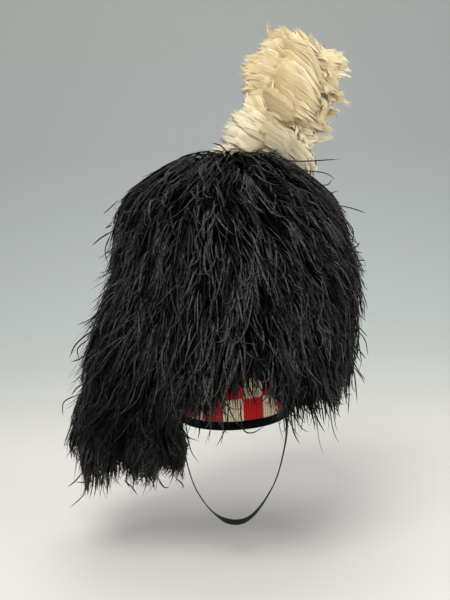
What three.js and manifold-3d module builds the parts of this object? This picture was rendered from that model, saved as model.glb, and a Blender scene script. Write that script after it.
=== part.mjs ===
// Feather bonnet: a tall hollow cap with a diced band and a bound rim, covered with black ostrich
// plumage, with feather tails on the wearer's right, a cream hackle on the left and a chin strap.
// Millimetres, +Z up. The wearer faces -Y, so +X is the wearer's left. The origin is the middle of
// the rim, where the head goes in.

import * as THREE from "three";
import { mergeVertices } from "three/addons/utils/BufferGeometryUtils.js";
import Module from "manifold-3d";

const wasm = await Module();
wasm.setup();

// Driving dimensions
const HEAD_HALF_WIDTH = 74; // inside of the rim, ear to ear
const HEAD_HALF_LENGTH = 96; // inside of the rim, brow to nape
const CAP_WALL = 2;
const SEAT_GAP = 0.4; // left between pieces that are sewn or pushed together
const BAND_WALL = 2.2;
const BAND_TOP = 92; // three rows of dicing above the binding
const BINDING_HEIGHT = 11;
const BINDING_PROUD = 0.8; // how far the binding stands out from the band
const RIM_LIFT = 1.2; // the cap's edge stops this far above the binding's lower edge

const CROWN_LENGTH_RATIO = 1.07; // the plumage is longer, front to back, than it is wide
const CROWN_SINK = 9; // the backing lies this far inside the plumage's outer form
const SKIRT_THICK = 34; // of the plumage's free lower edge
const SKIRT_ROOT = 100; // height where the skirt leaves the cap
const SKIRT_CLEAR = 6; // the skirt starts this far out from the cap, clear of the band
const LOCK_PROUD = 4; // a lock's middle line stands this far out from the backing
const ENVELOPE_PROUD = 12; // the plumage with its locks stays inside this

const STRAP_WIDTH = 8;
const STRAP_THICK = 1.6;
const STEM_RADIUS = 3;
const STEM_CHANNEL = 0.6; // clearance round the hackle's stem
const HACKLE_LOCKS = 21;
const HACKLE_LOCK_HALF = { width: 20, thick: 5 };
const HACKLE_FLATNESS = 0.8; // the hackle's depth, front to back, as a share of its width
const TAIL_LOCKS = 6;

const COLUMNS = 36; // facets round the cap and the plumage
const TUBE_SIDES = 8;
const FULL_TURN = 2 * Math.PI;
const GOLDEN_ANGLE = FULL_TURN * 0.381966;
const BACKWARD = new THREE.Vector3(0, 1, 0);
const RIGHTWARD = new THREE.Vector3(-1, 0, 0);

// Gives each row of a table its column names.
function table(columns, rows) {
  return rows.map((row) => Object.fromEntries(columns.map((name, i) => [name, row[i]])));
}

// The cap's outer wall: how far each section is wider and longer than the rim.
const CAP_SECTIONS = table(
  ["z", "wider", "longer"],
  [
    [RIM_LIFT, 0, 0],
    [BAND_TOP, 3, 2],
    [160, 6, 3],
    [215, 5, 0],
    [252, -2, -11],
    [276, -20, -33],
    [288, -46, -64],
  ],
);
const CAP_TOP = 292;

// The plumage's outer form, from the top down: half its width, its lean to the left, and its height.
const CROWN_SECTIONS = table(
  ["halfWidth", "lean", "z"],
  [
    [0, 8, 376],
    [62, 8, 367],
    [100, 6, 350],
    [131, 4, 325],
    [150, 5, 298],
    [162, 8, 265],
    [169, 10, 225],
    [173, 10, 175],
    [168, 7, 125],
    [160, 4, 80],
    [152, 2, 40],
    [145, 0, 0],
    [142, 0, -14],
  ],
);

// Where the plumage ends, as a share of the way down its form. It is trimmed above the brow, and
// stops high on the wearer's right, where the tails hang from under it.
const HEM = table(
  ["degrees", "down"],
  [
    [0, 0.92],
    [90, 0.97],
    [132, 0.95],
    [150, 0.62],
    [203, 0.62],
    [216, 0.9],
    [248, 0.9],
    [262, 0.88],
    [284, 0.87],
    [303, 0.93],
    [322, 0.95],
    [360, 0.92],
  ],
);

// Tiers of locks over the plumage: where they start and end, and how wide they are.
const LOCK_TIERS = table(
  ["count", "from", "to", "halfWidth", "turned"],
  [
    [9, 0.05, 0.42, 23, 0],
    [14, 0.27, 0.7, 27, 0.5],
    [18, 0.56, 1.02, 25, 0],
  ],
);

// Locks on the wearer's right, which leave the crown's form and swing out over the tails. Those before
// the tails hang lower.
const SIDE_LOCKS = { count: 7, from: 150, to: 212, start: 0.48, end: 0.79, halfWidth: 22 };
const FRONT_SIDE_LOCKS = { from: 200, end: 0.95 };
const SWING = table(
  ["down", "out"],
  [
    [0.54, 0],
    [0.66, 22],
    [0.76, 43],
    [0.86, 57],
    [0.94, 72],
    [1, 88],
  ],
);
const SWING_BACK = { none: 132, full: 160 }; // degrees round the crown
const SWING_FRONT = { full: 200, none: 228 };

// Feather tails, from the outermost to the one beside the cheek: the points that each hangs along. The
// first point lies inside the wall, and the tail is cut off where it meets the cap or the band.
const TAILS = [
  {
    name: "tail_outer_back",
    seat: "cap",
    route: [
      [-58, 38, 116], [-122, 57, 135], [-150, 61, 112], [-173, 58, 68],
      [-208, 46, 6], [-234, 34, -50],
    ],
  },
  {
    name: "tail_outer_front",
    seat: "cap",
    route: [
      [-62, -38, 116], [-128, -34, 138], [-160, -26, 114], [-174, -22, 60],
      [-190, -22, 0], [-200, -22, -84],
    ],
  },
  {
    name: "tail_middle",
    seat: "cap",
    route: [
      [-70, 6, 116], [-123, 14, 134], [-144, 20, 108], [-152, 22, 50],
      [-162, 22, -20], [-166, 22, -86],
    ],
  },
  {
    name: "tail_inner_front",
    seat: "band",
    route: [
      [-70, -27, 74], [-108, -26, 72], [-126, -20, 40], [-130, -17, -10],
      [-131, -16, -50], [-131, -16, -82],
    ],
  },
  {
    name: "tail_inner_back",
    seat: "band",
    route: [
      [-66, 32, 76], [-95, 37, 66], [-101, 31, 22], [-101, 29, -15],
      [-99, 28, -50], [-98, 28, -86],
    ],
  },
];
const TAIL_RADII = [6, 14, 19, 21, 22, 13];
const TAIL_LOCK_REACH = 20; // how far the locks hang below a tail's core

// The hackle's stem and spine, and the spine's thickness.
const STEM_ROUTE = [
  [79.1, 30.8, 106], [81.7, 30.8, 160], [88, 33, 215], [99, 37, 265], [108, 40, 312], [104, 41, 350],
  [93, 42, 374],
];
const SPINE = table(
  ["x", "y", "z", "radius"],
  [
    [112, 40, 312, 8],
    [104, 41, 348, 30],
    [84, 42, 386, 48],
    [90, 42, 418, 52],
    [108, 42, 450, 53],
    [114, 42, 482, 51],
    [116, 41, 508, 41],
    [110, 40, 540, 20],
  ],
);

// The chin strap's middle line, from the wearer's right to the left, with both ends inside the cap.
const STRAP_ROUTE = [
  [-71.9, 0, 30], [-71.9, 0, 0], [-76, -6, -20], [-72, -15, -56], [-59, -38, -95], [-34, -69, -121],
  [-6, -80, -131], [21, -70, -124], [52, -38, -93], [70, -14, -50], [75.5, -4, -18], [71.9, 0, 0],
  [71.9, 0, 30],
];
const STRAP_STEPS = 28;
const HEAD_MIDDLE = new THREE.Vector3(0, 12, -25); // the strap's flat side faces this point

// A number between -1 and 1 that looks random but is the same every time.
function wobble(i, kind) {
  const wave = Math.sin(i * 12.9898 + kind * 78.233) * 43758.5453;
  return 2 * (wave - Math.floor(wave)) - 1;
}

// Straight interpolation of a table's column, with its key column in rising order.
function lookUp(rows, key, column, at) {
  const after = rows.findIndex((row) => row[key] >= at);
  if (after < 0) return rows.at(-1)[column];
  if (after === 0) return rows[0][column];
  const low = rows[after - 1];
  const high = rows[after];
  return THREE.MathUtils.mapLinear(at, low[key], high[key], low[column], high[column]);
}

// A closed mesh with its faces turned outward. Corners that coincide are merged, and triangles that
// this collapses are dropped.
function closedGeometry(points, triangles) {
  const loose = new THREE.BufferGeometry().setFromPoints(points);
  loose.setIndex(triangles.flat());
  const merged = mergeVertices(loose, 1e-3);
  const corners = merged.index.array;
  const at = (i) => new THREE.Vector3().fromBufferAttribute(merged.attributes.position, i);
  const kept = [];
  let volume = 0;
  for (let i = 0; i < corners.length; i += 3) {
    const [a, b, c] = corners.slice(i, i + 3);
    if (a === b || b === c || a === c) continue;
    kept.push([a, b, c]);
    volume += at(a).dot(at(b).cross(at(c)));
  }
  merged.setIndex(kept.map(([a, b, c]) => (volume < 0 ? [a, c, b] : [a, b, c])).flat());
  return merged;
}

// Skins rings of equal size in turn. The first and last ring are closed over, or joined if endless.
function loft(rings, endless = false) {
  const points = rings.flat();
  const sides = rings[0].length;
  const triangles = [];
  const last = endless ? rings.length : rings.length - 1;
  for (let i = 0; i < last; i++) {
    const upper = i * sides;
    const lower = ((i + 1) % rings.length) * sides;
    for (let j = 0; j < sides; j++) {
      const next = (j + 1) % sides;
      triangles.push([upper + j, lower + j, lower + next], [upper + j, lower + next, upper + next]);
    }
  }
  if (!endless) {
    closeOver(rings[0], 0, points, triangles, false);
    closeOver(rings.at(-1), (rings.length - 1) * sides, points, triangles, true);
  }
  return closedGeometry(points, triangles);
}

function closeOver(ring, start, points, triangles, reversed) {
  const middle = ring.reduce((sum, p) => sum.add(p), new THREE.Vector3()).divideScalar(ring.length);
  const centre = points.push(middle) - 1;
  ring.forEach((_, j) => {
    const pair = [start + j, start + ((j + 1) % ring.length)];
    triangles.push([centre, ...(reversed ? pair.reverse() : pair)]);
  });
}

function solidOf(geometry) {
  const vertProperties = geometry.attributes.position.array;
  const triVerts = new Uint32Array(geometry.index.array);
  return new wasm.Manifold(new wasm.Mesh({ numProp: 3, vertProperties, triVerts }));
}

function geometryOf(solid) {
  const mesh = solid.getMesh();
  const geometry = new THREE.BufferGeometry();
  geometry.setAttribute("position", new THREE.BufferAttribute(mesh.vertProperties, 3));
  return geometry.setIndex(new THREE.BufferAttribute(mesh.triVerts, 1));
}

function fuse(solids) {
  return solids.reduce((whole, piece) => whole.add(piece));
}

function columnAngle(column) {
  return (column / COLUMNS) * FULL_TURN;
}

function oval(halfWidth, halfLength, z, lean = 0) {
  return Array.from({ length: COLUMNS }, (_, column) => {
    const angle = columnAngle(column);
    return new THREE.Vector3(lean + halfWidth * Math.cos(angle), halfLength * Math.sin(angle), z);
  });
}

// An oval round the cap's outer wall at a height, moved out by some offset.
function capOval(z, offset) {
  const width = HEAD_HALF_WIDTH + CAP_WALL + lookUp(CAP_SECTIONS, "z", "wider", z);
  const length = HEAD_HALF_LENGTH + CAP_WALL + lookUp(CAP_SECTIONS, "z", "longer", z);
  return oval(width + offset, length + offset, z);
}

// A tube or tapering core along a curve. The radius is given for each of its evenly spaced rings, and
// flatness scales it front to back.
function sweep(curve, radii, flatness = 1, sides = TUBE_SIDES) {
  const rings = radii.map((radius, i) => {
    const share = i / (radii.length - 1);
    const middle = curve.getPoint(share);
    const ahead = curve.getTangent(share);
    const side = new THREE.Vector3().crossVectors(BACKWARD, ahead).normalize();
    const up = new THREE.Vector3().crossVectors(ahead, side);
    return Array.from({ length: sides }, (_, j) => {
      const angle = (j / sides) * FULL_TURN;
      return middle
        .clone()
        .addScaledVector(side, radius * Math.cos(angle))
        .addScaledVector(up, flatness * radius * Math.sin(angle));
    });
  });
  return loft(rings);
}

// A lock of feather: a strip with a flat diamond section that tapers to a point. Each station holds
// its middle, the direction across the strip, the direction out of it, and its half sizes.
function lock(stations) {
  return loft(
    stations.map(({ middle, across, out, width, thick }) => [
      middle.clone().addScaledVector(across, width),
      middle.clone().addScaledVector(out, thick),
      middle.clone().addScaledVector(across, -width),
      middle.clone().addScaledVector(out, -thick),
    ]),
  );
}

// The hollow cap: its outer wall from the top down to the rim, then its inner wall back up.
function capGeometry() {
  const heights = CAP_SECTIONS.map((row) => row.z);
  const outer = heights.toReversed().map((z) => capOval(z, 0));
  const inner = heights.map((z) => capOval(z, -CAP_WALL));
  inner.at(-1).forEach((p) => (p.z -= CAP_WALL));
  const pole = (z) => oval(0, 0, z);
  return loft([pole(CAP_TOP), ...outer, ...inner, pole(CAP_TOP - CAP_WALL)]);
}

// A ring round the cap with a section given as [height, offset] corners.
function capRing(corners) {
  return loft(corners.map(([z, offset]) => capOval(z, offset)), true);
}

function bandGeometry() {
  const foot = BINDING_HEIGHT + SEAT_GAP;
  const outer = SEAT_GAP + BAND_WALL;
  return capRing([
    [BAND_TOP, SEAT_GAP],
    [BAND_TOP, outer],
    [foot, outer],
    [foot, SEAT_GAP],
  ]);
}

// The binding folds round the rim: a lip outside, a rounded lower edge and a short turn under the cap.
function bindingGeometry() {
  const outer = SEAT_GAP + BAND_WALL + BINDING_PROUD;
  const rounding = 1;
  return capRing([
    [BINDING_HEIGHT, SEAT_GAP],
    [BINDING_HEIGHT, outer - rounding],
    [BINDING_HEIGHT - rounding, outer],
    [rounding, outer],
    [0, outer - rounding],
    [0, -CAP_WALL],
    [RIM_LIFT - SEAT_GAP, -CAP_WALL],
    [RIM_LIFT - SEAT_GAP, SEAT_GAP],
  ]);
}

const crownProfile = new THREE.CatmullRomCurve3(
  CROWN_SECTIONS.map(({ halfWidth, lean, z }) => new THREE.Vector3(halfWidth, lean, z)),
);

// A point of the plumage's form at an angle and a share of the way down, standing out by some amount.
function crownPoint(angle, down, proud) {
  const { x: halfWidth, y: lean, z } = crownProfile.getPointAt(Math.min(down, 1));
  const slope = crownProfile.getTangentAt(Math.min(down, 1));
  const reach = halfWidth - slope.z * proud;
  return new THREE.Vector3(
    lean + reach * Math.cos(angle),
    reach * CROWN_LENGTH_RATIO * Math.sin(angle),
    z + slope.x * proud,
  );
}

function hemAt(angle) {
  const degrees = THREE.MathUtils.euclideanModulo(THREE.MathUtils.radToDeg(angle), 360);
  return lookUp(HEM, "degrees", "down", degrees);
}

// One ring of the plumage, with its height on the form set for each column.
function crownRing(downAt, proud) {
  return Array.from({ length: COLUMNS }, (_, column) => {
    const angle = columnAngle(column);
    return crownPoint(angle, downAt(angle), proud);
  });
}

// The backing that carries the locks: a thick shell round the cap, with a free skirt below.
function crownBacking() {
  const shares = [0.1, 0.22, 0.34, 0.48, 0.64, 0.82, 1];
  const outer = shares.map((share) => crownRing((angle) => share * hemAt(angle), -CROWN_SINK));
  const hem = crownRing(hemAt, -CROWN_SINK - SKIRT_THICK);
  const seats = CAP_SECTIONS.filter((row) => row.z > SKIRT_ROOT).map((row) => row.z);
  const inner = [SKIRT_ROOT, SKIRT_ROOT + 4, ...seats].map((z, i) =>
    hem.map((edge, column) => capOval(Math.max(z, edge.z + 4), i === 0 ? SKIRT_CLEAR : -CAP_WALL)[column]),
  );
  const top = oval(0, 0, crownPoint(0, 0, -CROWN_SINK).z, CROWN_SECTIONS[0].lean);
  return solidOf(loft([top, ...outer, hem, ...inner]));
}

// The room that the cap takes up, with some clearance round it.
function capRoom(clearance) {
  const walls = CAP_SECTIONS.toReversed().map(({ z }) => capOval(z, clearance));
  walls.flat().forEach((p) => (p.z += clearance));
  return solidOf(loft([oval(0, 0, CAP_TOP + clearance), ...walls]));
}

// How far a lock swings out over the tails at an angle and a share of the way down.
function swingAt(angle, down) {
  const degrees = THREE.MathUtils.radToDeg(angle);
  const fromBack = THREE.MathUtils.smoothstep(degrees, SWING_BACK.none, SWING_BACK.full);
  const fromFront = 1 - THREE.MathUtils.smoothstep(degrees, SWING_FRONT.full, SWING_FRONT.none);
  return fromBack * fromFront * lookUp(SWING, "down", "out", down);
}

// A lock that lies down the plumage, leaves it towards the tip and drifts a little to one side. The
// swing, if any, carries it further out.
function crownLock(angle, from, to, halfWidth, seed, swing = () => 0) {
  const shape = table(
    ["along", "width", "proud"],
    [
      [0, 0.35, -CROWN_SINK - 4],
      [0.35, 1, -CROWN_SINK + LOCK_PROUD],
      [0.72, 0.8, -CROWN_SINK + 1.6 * LOCK_PROUD],
      [1, 0.06, -CROWN_SINK + 2.2 * LOCK_PROUD],
    ],
  );
  const drift = 0.09 * wobble(seed, 1);
  return lock(
    shape.map(({ along, width, proud }) => {
      const turned = angle + drift * along;
      const down = THREE.MathUtils.lerp(from, to, along);
      const out = crownPoint(turned, down, 1).sub(crownPoint(turned, down, 0)).normalize();
      const across = new THREE.Vector3(-Math.sin(turned), Math.cos(turned), 0);
      const thick = 5 * Math.sqrt(width);
      const middle = crownPoint(turned, down, proud + swing(turned, down));
      return { middle, across, out, width: width * halfWidth, thick };
    }),
  );
}

function crownLocks() {
  const hangsBelow = 0.055; // how far a lock may pass the hem, as a share of the form
  const shortest = 0.16;
  return LOCK_TIERS.flatMap(({ count, from, to, halfWidth, turned }, tier) =>
    Array.from({ length: count }, (_, i) => {
      const seed = tier * 100 + i;
      const angle = ((i + turned) / count) * FULL_TURN + 0.05 * wobble(seed, 2);
      const end = Math.min(to, hemAt(angle) + hangsBelow) + 0.02 * wobble(seed, 3);
      const start = from + 0.03 * wobble(seed, 4);
      if (end - start < shortest) return [];
      return [solidOf(crownLock(angle, start, Math.min(end, 1), halfWidth, seed))];
    }).flat(),
  );
}

function sideLocks() {
  const { count, from, to, start, end, halfWidth } = SIDE_LOCKS;
  return Array.from({ length: count }, (_, i) => {
    const seed = 500 + i;
    const angle = THREE.MathUtils.degToRad(THREE.MathUtils.mapLinear(i, 0, count - 1, from, to));
    const hangs = angle > THREE.MathUtils.degToRad(FRONT_SIDE_LOCKS.from) ? FRONT_SIDE_LOCKS.end : end;
    const tip = hangs + 0.03 * wobble(seed, 2);
    return solidOf(crownLock(angle, start, tip, halfWidth, seed, swingAt));
  });
}

function curveThrough(points) {
  return new THREE.CatmullRomCurve3(points.map((p) => new THREE.Vector3(...p)), false, "centripetal");
}

const stemCurve = curveThrough(STEM_ROUTE);

function stemTube(radius) {
  return sweep(stemCurve, Array(STEM_ROUTE.length * 2).fill(radius));
}

function stemChannel() {
  return solidOf(stemTube(STEM_RADIUS + STEM_CHANNEL));
}

function crownGeometry() {
  const whole = fuse([crownBacking(), ...crownLocks(), ...sideLocks()]);
  return geometryOf(whole.subtract(capRoom(SEAT_GAP)).subtract(stemChannel()));
}

// A solid that holds the whole plumage, for trimming what stands on it.
function crownEnvelope() {
  const shares = [0.02, 0.12, 0.24, 0.36, 0.5];
  return solidOf(loft(shares.map((share) => crownRing(() => share, ENVELOPE_PROUD - CROWN_SINK))));
}

// A tail: a core that hangs along its route, with locks that run down it and part below its end.
function tailGeometry({ route, seat }, tail) {
  const curve = curveThrough(route);
  const core = solidOf(sweep(curve, TAIL_RADII));
  const locks = Array.from({ length: TAIL_LOCKS }, (_, i) => {
    const seed = 300 + tail * 20 + i;
    const angle = ((i + 0.15 * wobble(seed, 1)) / TAIL_LOCKS) * FULL_TURN;
    const out = new THREE.Vector3(Math.cos(angle), Math.sin(angle), 0);
    const across = new THREE.Vector3(-Math.sin(angle), Math.cos(angle), 0);
    const reach = TAIL_LOCK_REACH * (1 + 0.35 * wobble(seed, 2));
    const onCore = (share, away) => curve.getPoint(share).addScaledVector(out, away);
    const tip = onCore(1, 17 + 3 * wobble(seed, 3)).add(new THREE.Vector3(0, 0, -reach));
    const stations = [
      { middle: onCore(0.5, 15), width: 5, thick: 3 },
      { middle: onCore(0.75, 19), width: 9, thick: 7 },
      { middle: onCore(0.97, 15), width: 6, thick: 5 },
      { middle: tip, width: 1, thick: 1 },
    ];
    return solidOf(lock(stations.map((station) => ({ ...station, out, across }))));
  });
  const clearance = seat === "band" ? BAND_WALL + 2 * SEAT_GAP : SEAT_GAP;
  return geometryOf(fuse([core, ...locks]).subtract(capRoom(clearance)));
}

// One lock of the hackle, at a share of the way along its curve and an angle round it. Locks on the
// wearer's right point up, those on the left droop.
function hackleLock(curve, radii, share, angle, reach, twist) {
  const along = curve.getTangent(share);
  const crest = RIGHTWARD.clone().addScaledVector(along, -RIGHTWARD.dot(along)).normalize();
  const behind = new THREE.Vector3().crossVectors(along, crest);
  const round = (turn) =>
    crest.clone().multiplyScalar(Math.cos(turn)).addScaledVector(behind, Math.sin(turn));
  const depth = Math.hypot(Math.cos(angle), HACKLE_FLATNESS * Math.sin(angle));
  const radius = radii[Math.round(share * (radii.length - 1))] * depth;
  const rise = Math.cos(angle); // 1 on the wearer's right, -1 on the left
  const heading = round(angle)
    .multiplyScalar(0.6)
    .addScaledVector(along, 0.15 + 0.65 * rise)
    .add(new THREE.Vector3(0.2 - 0.2 * rise, 0, 0))
    .normalize();
  const across = round(angle + FULL_TURN / 4).applyAxisAngle(heading, twist);
  const out = new THREE.Vector3().crossVectors(heading, across).normalize();
  const root = curve.getPoint(share).addScaledVector(round(angle), 0.66 * radius);
  const shape = table(
    ["along", "width", "thick"],
    [
      [0, 0.5, 1],
      [0.45, 1, 1],
      [0.8, 0.7, 0.8],
      [1, 0.06, 0.2],
    ],
  );
  return lock(
    shape.map((row) => ({
      middle: root.clone().addScaledVector(heading, row.along * reach),
      across,
      out,
      width: row.width * HACKLE_LOCK_HALF.width,
      thick: row.thick * HACKLE_LOCK_HALF.thick,
    })),
  );
}

// The hackle: a curved core with locks set round it in a spiral, trimmed where it meets the plumage.
function hackleGeometry() {
  const curve = curveThrough(SPINE.map(({ x, y, z }) => [x, y, z]));
  const radii = SPINE.map((row) => row.radius);
  const locks = Array.from({ length: HACKLE_LOCKS }, (_, i) => {
    const share = 0.24 + 0.74 * ((i + 0.5) / HACKLE_LOCKS);
    const reach = 46 + 8 * wobble(i, 5);
    const twist = 0.4 + 0.5 * wobble(i, 6);
    return solidOf(hackleLock(curve, radii, share, i * GOLDEN_ANGLE, reach, twist));
  });
  const whole = fuse([solidOf(sweep(curve, radii, HACKLE_FLATNESS)), ...locks]);
  return geometryOf(whole.subtract(crownEnvelope()).subtract(stemChannel()));
}

// The chin strap: a flat strip whose broad side faces the head all the way round.
function strapGeometry() {
  const curve = curveThrough(STRAP_ROUTE);
  const rings = Array.from({ length: STRAP_STEPS + 1 }, (_, i) => {
    const share = i / STRAP_STEPS;
    const middle = curve.getPointAt(share);
    const ahead = curve.getTangentAt(share);
    const facing = HEAD_MIDDLE.clone().setZ(Math.max(HEAD_MIDDLE.z, middle.z)).sub(middle);
    const inward = facing.addScaledVector(ahead, -facing.dot(ahead)).normalize();
    const across = new THREE.Vector3().crossVectors(ahead, inward);
    const corner = (side, face) =>
      middle
        .clone()
        .addScaledVector(across, (side * STRAP_WIDTH) / 2)
        .addScaledVector(inward, (face * STRAP_THICK) / 2);
    return [corner(1, 1), corner(1, -1), corner(-1, -1), corner(-1, 1)];
  });
  return loft(rings);
}

function material(color, roughness, metalness = 0) {
  return new THREE.MeshStandardMaterial({ color, roughness, metalness });
}

const CLOTH = material("#15141a", 0.95);
const DICING = material("#c9a98a", 0.9);
const RIBBON = material("#08080a", 0.8);
const OSTRICH = material("#141313", 0.6);
const CREAM = material("#e6d5ad", 0.75);
const WIRE = material("#6f6a60", 0.5, 0.6);
const LEATHER = material("#1a1512", 0.45);

const bonnet = new THREE.Group();

function addPiece(name, geometry, finish) {
  const mesh = new THREE.Mesh(geometry, finish);
  mesh.name = name;
  bonnet.add(mesh);
}

addPiece("cap", capGeometry(), CLOTH);
addPiece("diced_band", bandGeometry(), DICING);
addPiece("rim_binding", bindingGeometry(), RIBBON);
addPiece("crown_plumage", crownGeometry(), OSTRICH);
TAILS.forEach((tail, i) => addPiece(tail.name, tailGeometry(tail, i), OSTRICH));
addPiece("hackle_stem", stemTube(STEM_RADIUS), WIRE);
addPiece("hackle", hackleGeometry(), CREAM);
addPiece("chin_strap", strapGeometry(), LEATHER);

export default bonnet;
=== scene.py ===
"""Feather bonnet: plumage, tails, hackle, knitted band, binding, cap and strap, around the CAD frame."""

import math

import bpy
import numpy as np
from mathutils import Matrix, Vector


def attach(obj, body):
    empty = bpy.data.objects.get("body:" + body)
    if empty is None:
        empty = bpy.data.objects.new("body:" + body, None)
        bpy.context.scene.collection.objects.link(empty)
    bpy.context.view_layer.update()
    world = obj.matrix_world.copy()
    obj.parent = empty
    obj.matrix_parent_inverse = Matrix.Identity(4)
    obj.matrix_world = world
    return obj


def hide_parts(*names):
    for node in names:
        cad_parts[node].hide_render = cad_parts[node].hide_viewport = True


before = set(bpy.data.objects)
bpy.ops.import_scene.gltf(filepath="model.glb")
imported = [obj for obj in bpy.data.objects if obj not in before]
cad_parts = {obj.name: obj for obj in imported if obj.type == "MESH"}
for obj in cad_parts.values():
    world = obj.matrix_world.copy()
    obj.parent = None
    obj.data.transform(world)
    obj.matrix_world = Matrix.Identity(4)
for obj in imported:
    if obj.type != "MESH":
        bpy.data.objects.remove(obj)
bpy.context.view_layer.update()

MM = 0.001
TAU = 2 * math.pi
BACKWARD = np.array([0.0, 1.0, 0.0])
UPWARD = np.array([0.0, 0.0, 1.0])

# Camera and stage, in metres
CAMERA_PLACE = (-0.004, -1.080, 0.246)
CAMERA_PITCH_DEG = -4.34
CAMERA_ROLL_DEG = 3.0
CAMERA_LENS_MM = 45.6
SENSOR_MM = 36.0
FAR_CLIP = 50
FLOOR_Z = -0.186
FLOOR_FRONT = -3.0
WALL_Y = 2.3
WALL_TOP = 4.0
STAGE_HALF_WIDTH = 4.0
SWEEP_RADIUS = 1.3
SWEEP_STEPS = 24

# The backdrop's colours by the share of its way back and up, over so many metres from below the bonnet
PAPER_LENGTH = 4.0
# Besides a warm floor and a cool wall, they hold painted shade: the paper darkens up the sweep and the wall
# as if light fell off there
PAPER_COLOURS_AND_SHADE = [
    (0.0, (0.80, 0.765, 0.725)), (0.125, (0.83, 0.80, 0.75)), (0.225, (0.775, 0.765, 0.715)),
    (0.29, (0.73, 0.735, 0.69)), (0.34, (0.65, 0.67, 0.63)), (0.41, (0.575, 0.61, 0.582)),
    (0.49, (0.528, 0.56, 0.54)), (0.56, (0.482, 0.514, 0.498)), (0.64, (0.445, 0.469, 0.46)),
    (0.8, (0.448, 0.476, 0.456)),
]

# Lights: place, the point that each looks at, diameter, watts and colour
BONNET_MIDDLE = (0.0, 0.0, 0.2)
LIGHTS = {
    "key": ((-0.5, -1.5, 2.1), BONNET_MIDDLE, 1.6, 45.0, (1.0, 0.985, 0.96)),
    "fill": ((1.9, -1.0, 0.9), BONNET_MIDDLE, 1.4, 12.0, (0.96, 0.98, 1.0)),
    "top": ((0.1, 0.5, 2.3), BONNET_MIDDLE, 1.6, 16.0, (1.0, 0.99, 0.97)),
    "front": ((0.15, -1.9, 0.35), (0.0, 0.0, 0.08), 1.0, 2.2, (1.0, 0.99, 0.97)),
}
ROOM_COLOUR = (0.92, 0.95, 1.0, 1.0)
ROOM_STRENGTH = 0.45

# The cap's outer wall in millimetres: height, half width and half length of each section
CAP_SECTIONS = np.array([
    (1.2, 76, 98), (92, 79, 100), (160, 82, 101), (215, 81, 98), (252, 74, 87), (276, 56, 65), (288, 30, 34),
])
CAP_TOP = 292
CAP_WALL = 2.0
CAP_COLUMNS = 120
CAP_HEIGHTS = np.concatenate([np.linspace(1.2, 250, 14), np.linspace(258, 288, 5)])
CAP_BUTTON = 0.02  # the small ring that closes the top, as a share of the last section

# The plumage's outer form in millimetres, from the top down: half width, lean to the left, height
CROWN_SECTIONS = np.array([
    (0, 8, 376), (62, 8, 367), (100, 6, 350), (131, 4, 325), (150, 5, 298), (162, 8, 265), (169, 10, 225),
    (173, 10, 175), (168, 7, 125), (160, 4, 80), (152, 2, 40), (145, 0, 0), (142, 0, -14),
])
CROWN_LENGTH_RATIO = 1.07
# Its hem: degrees from the left, round by the back, and the share of the way down
HEM = np.array([
    (0, 0.90), (30, 0.95), (90, 0.97), (132, 0.95), (150, 0.62), (203, 0.62), (216, 0.925), (232, 0.932),
    (241, 0.914), (249, 0.905), (258, 0.90), (264, 0.882), (270, 0.848), (284, 0.850), (290, 0.888),
    (296, 0.925), (303, 0.925), (322, 0.935), (340, 0.925), (360, 0.90),
])
# How far strands swing out over the tails, by the share of the way down, and the degrees where that sets in
SWING = np.array([(0.54, 0), (0.66, 22), (0.76, 43), (0.86, 57), (0.94, 74), (1.0, 90), (1.1, 98)])
SWING_BACK_DEG = (132, 160)
SWING_FRONT_DEG = (228, 200)
# How far the two sides stand off the form: share of the way down, the left, the right
SIDES_OFF = np.array([(0.1, 0, 3), (0.25, -3, -4), (0.5, -5, -5), (0.75, 5, 0), (0.9, 6, 0)])
# Painted shade on the plumage, by the share of the way down where a tuft starts: darker low down, where it
# shades itself, and at the top, against the light from above
CROWN_PAINTED_SHADE = np.array([(0.1, 0.6), (0.4, 1.0), (0.6, 1.08), (0.85, 0.65)])
ROOT_DEPTH = 22  # strands come out from so far inside the form
LEAST_RADIUS = 22  # strands near the top spread as if the form were so wide
AREA_AT_TOP = 6  # a radius, so that some strands start at the very top
LOOSENESS = dict(front=14.0, sides=8.0, right=12.0, under=6.0)  # how far out strands may stand
HEM_RAGGED = (-0.025, 0.045)  # how far strands end before or past the hem, as a share of the way down
LEAST_REACH = 0.05  # tufts start at least so far above the hem
# How much the members of one tuft differ: shares of the way down, slopes, and millimetres
MEMBER_SPREAD = dict(start=0.02, reach=0.02, side=7.0, slope=0.07, curve=4.0, rise=1.8, hook=4.5, tone=0.14)
# How far tufts curve, and hook at their tips, and strands wave, in millimetres
TUFT_CURVE = 6
TUFT_HOOK = 5
WAVE = 1.3
# Slopes: tufts swirl to and fro, and fan out from the front and back towards the sides
SWIRL = 0.12
FAN = 0.28
BARB_RIBS = 420.0  # radians of fine ribs along a strand
STRAND_CUP = 0.55  # how far a strand's ridge stands up, as a share of its half width
# Layers of its strands, from the inside out. Sizes in millimetres; depth is how far a strand stands out
# Their tone ranges are partly painted shade: deeper layers darker, outer layers paler with a painted sheen
CROWN_LAYERS = [
    dict(tufts=900, members=6, length=(60, 105), half_width=(1.0, 1.6), depth=(-11, -5), splay=0.10,
         tone=(0.0, 0.1), stations=6, short=0.01),
    dict(tufts=1200, members=6, length=(50, 95), half_width=(0.75, 1.35), depth=(-6, 1), splay=0.13,
         tone=(0.0, 0.58), stations=9),
    dict(tufts=760, members=4, length=(45, 85), half_width=(0.75, 1.25), depth=(-1, 5), splay=0.2,
         tone=(0.35, 1.0), stations=9),
    dict(tufts=330, members=2, length=(45, 95), half_width=(0.5, 0.8), depth=(0, 4), splay=0.35,
         tone=(0.2, 0.9), stations=9, flick=13.0),
]
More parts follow.
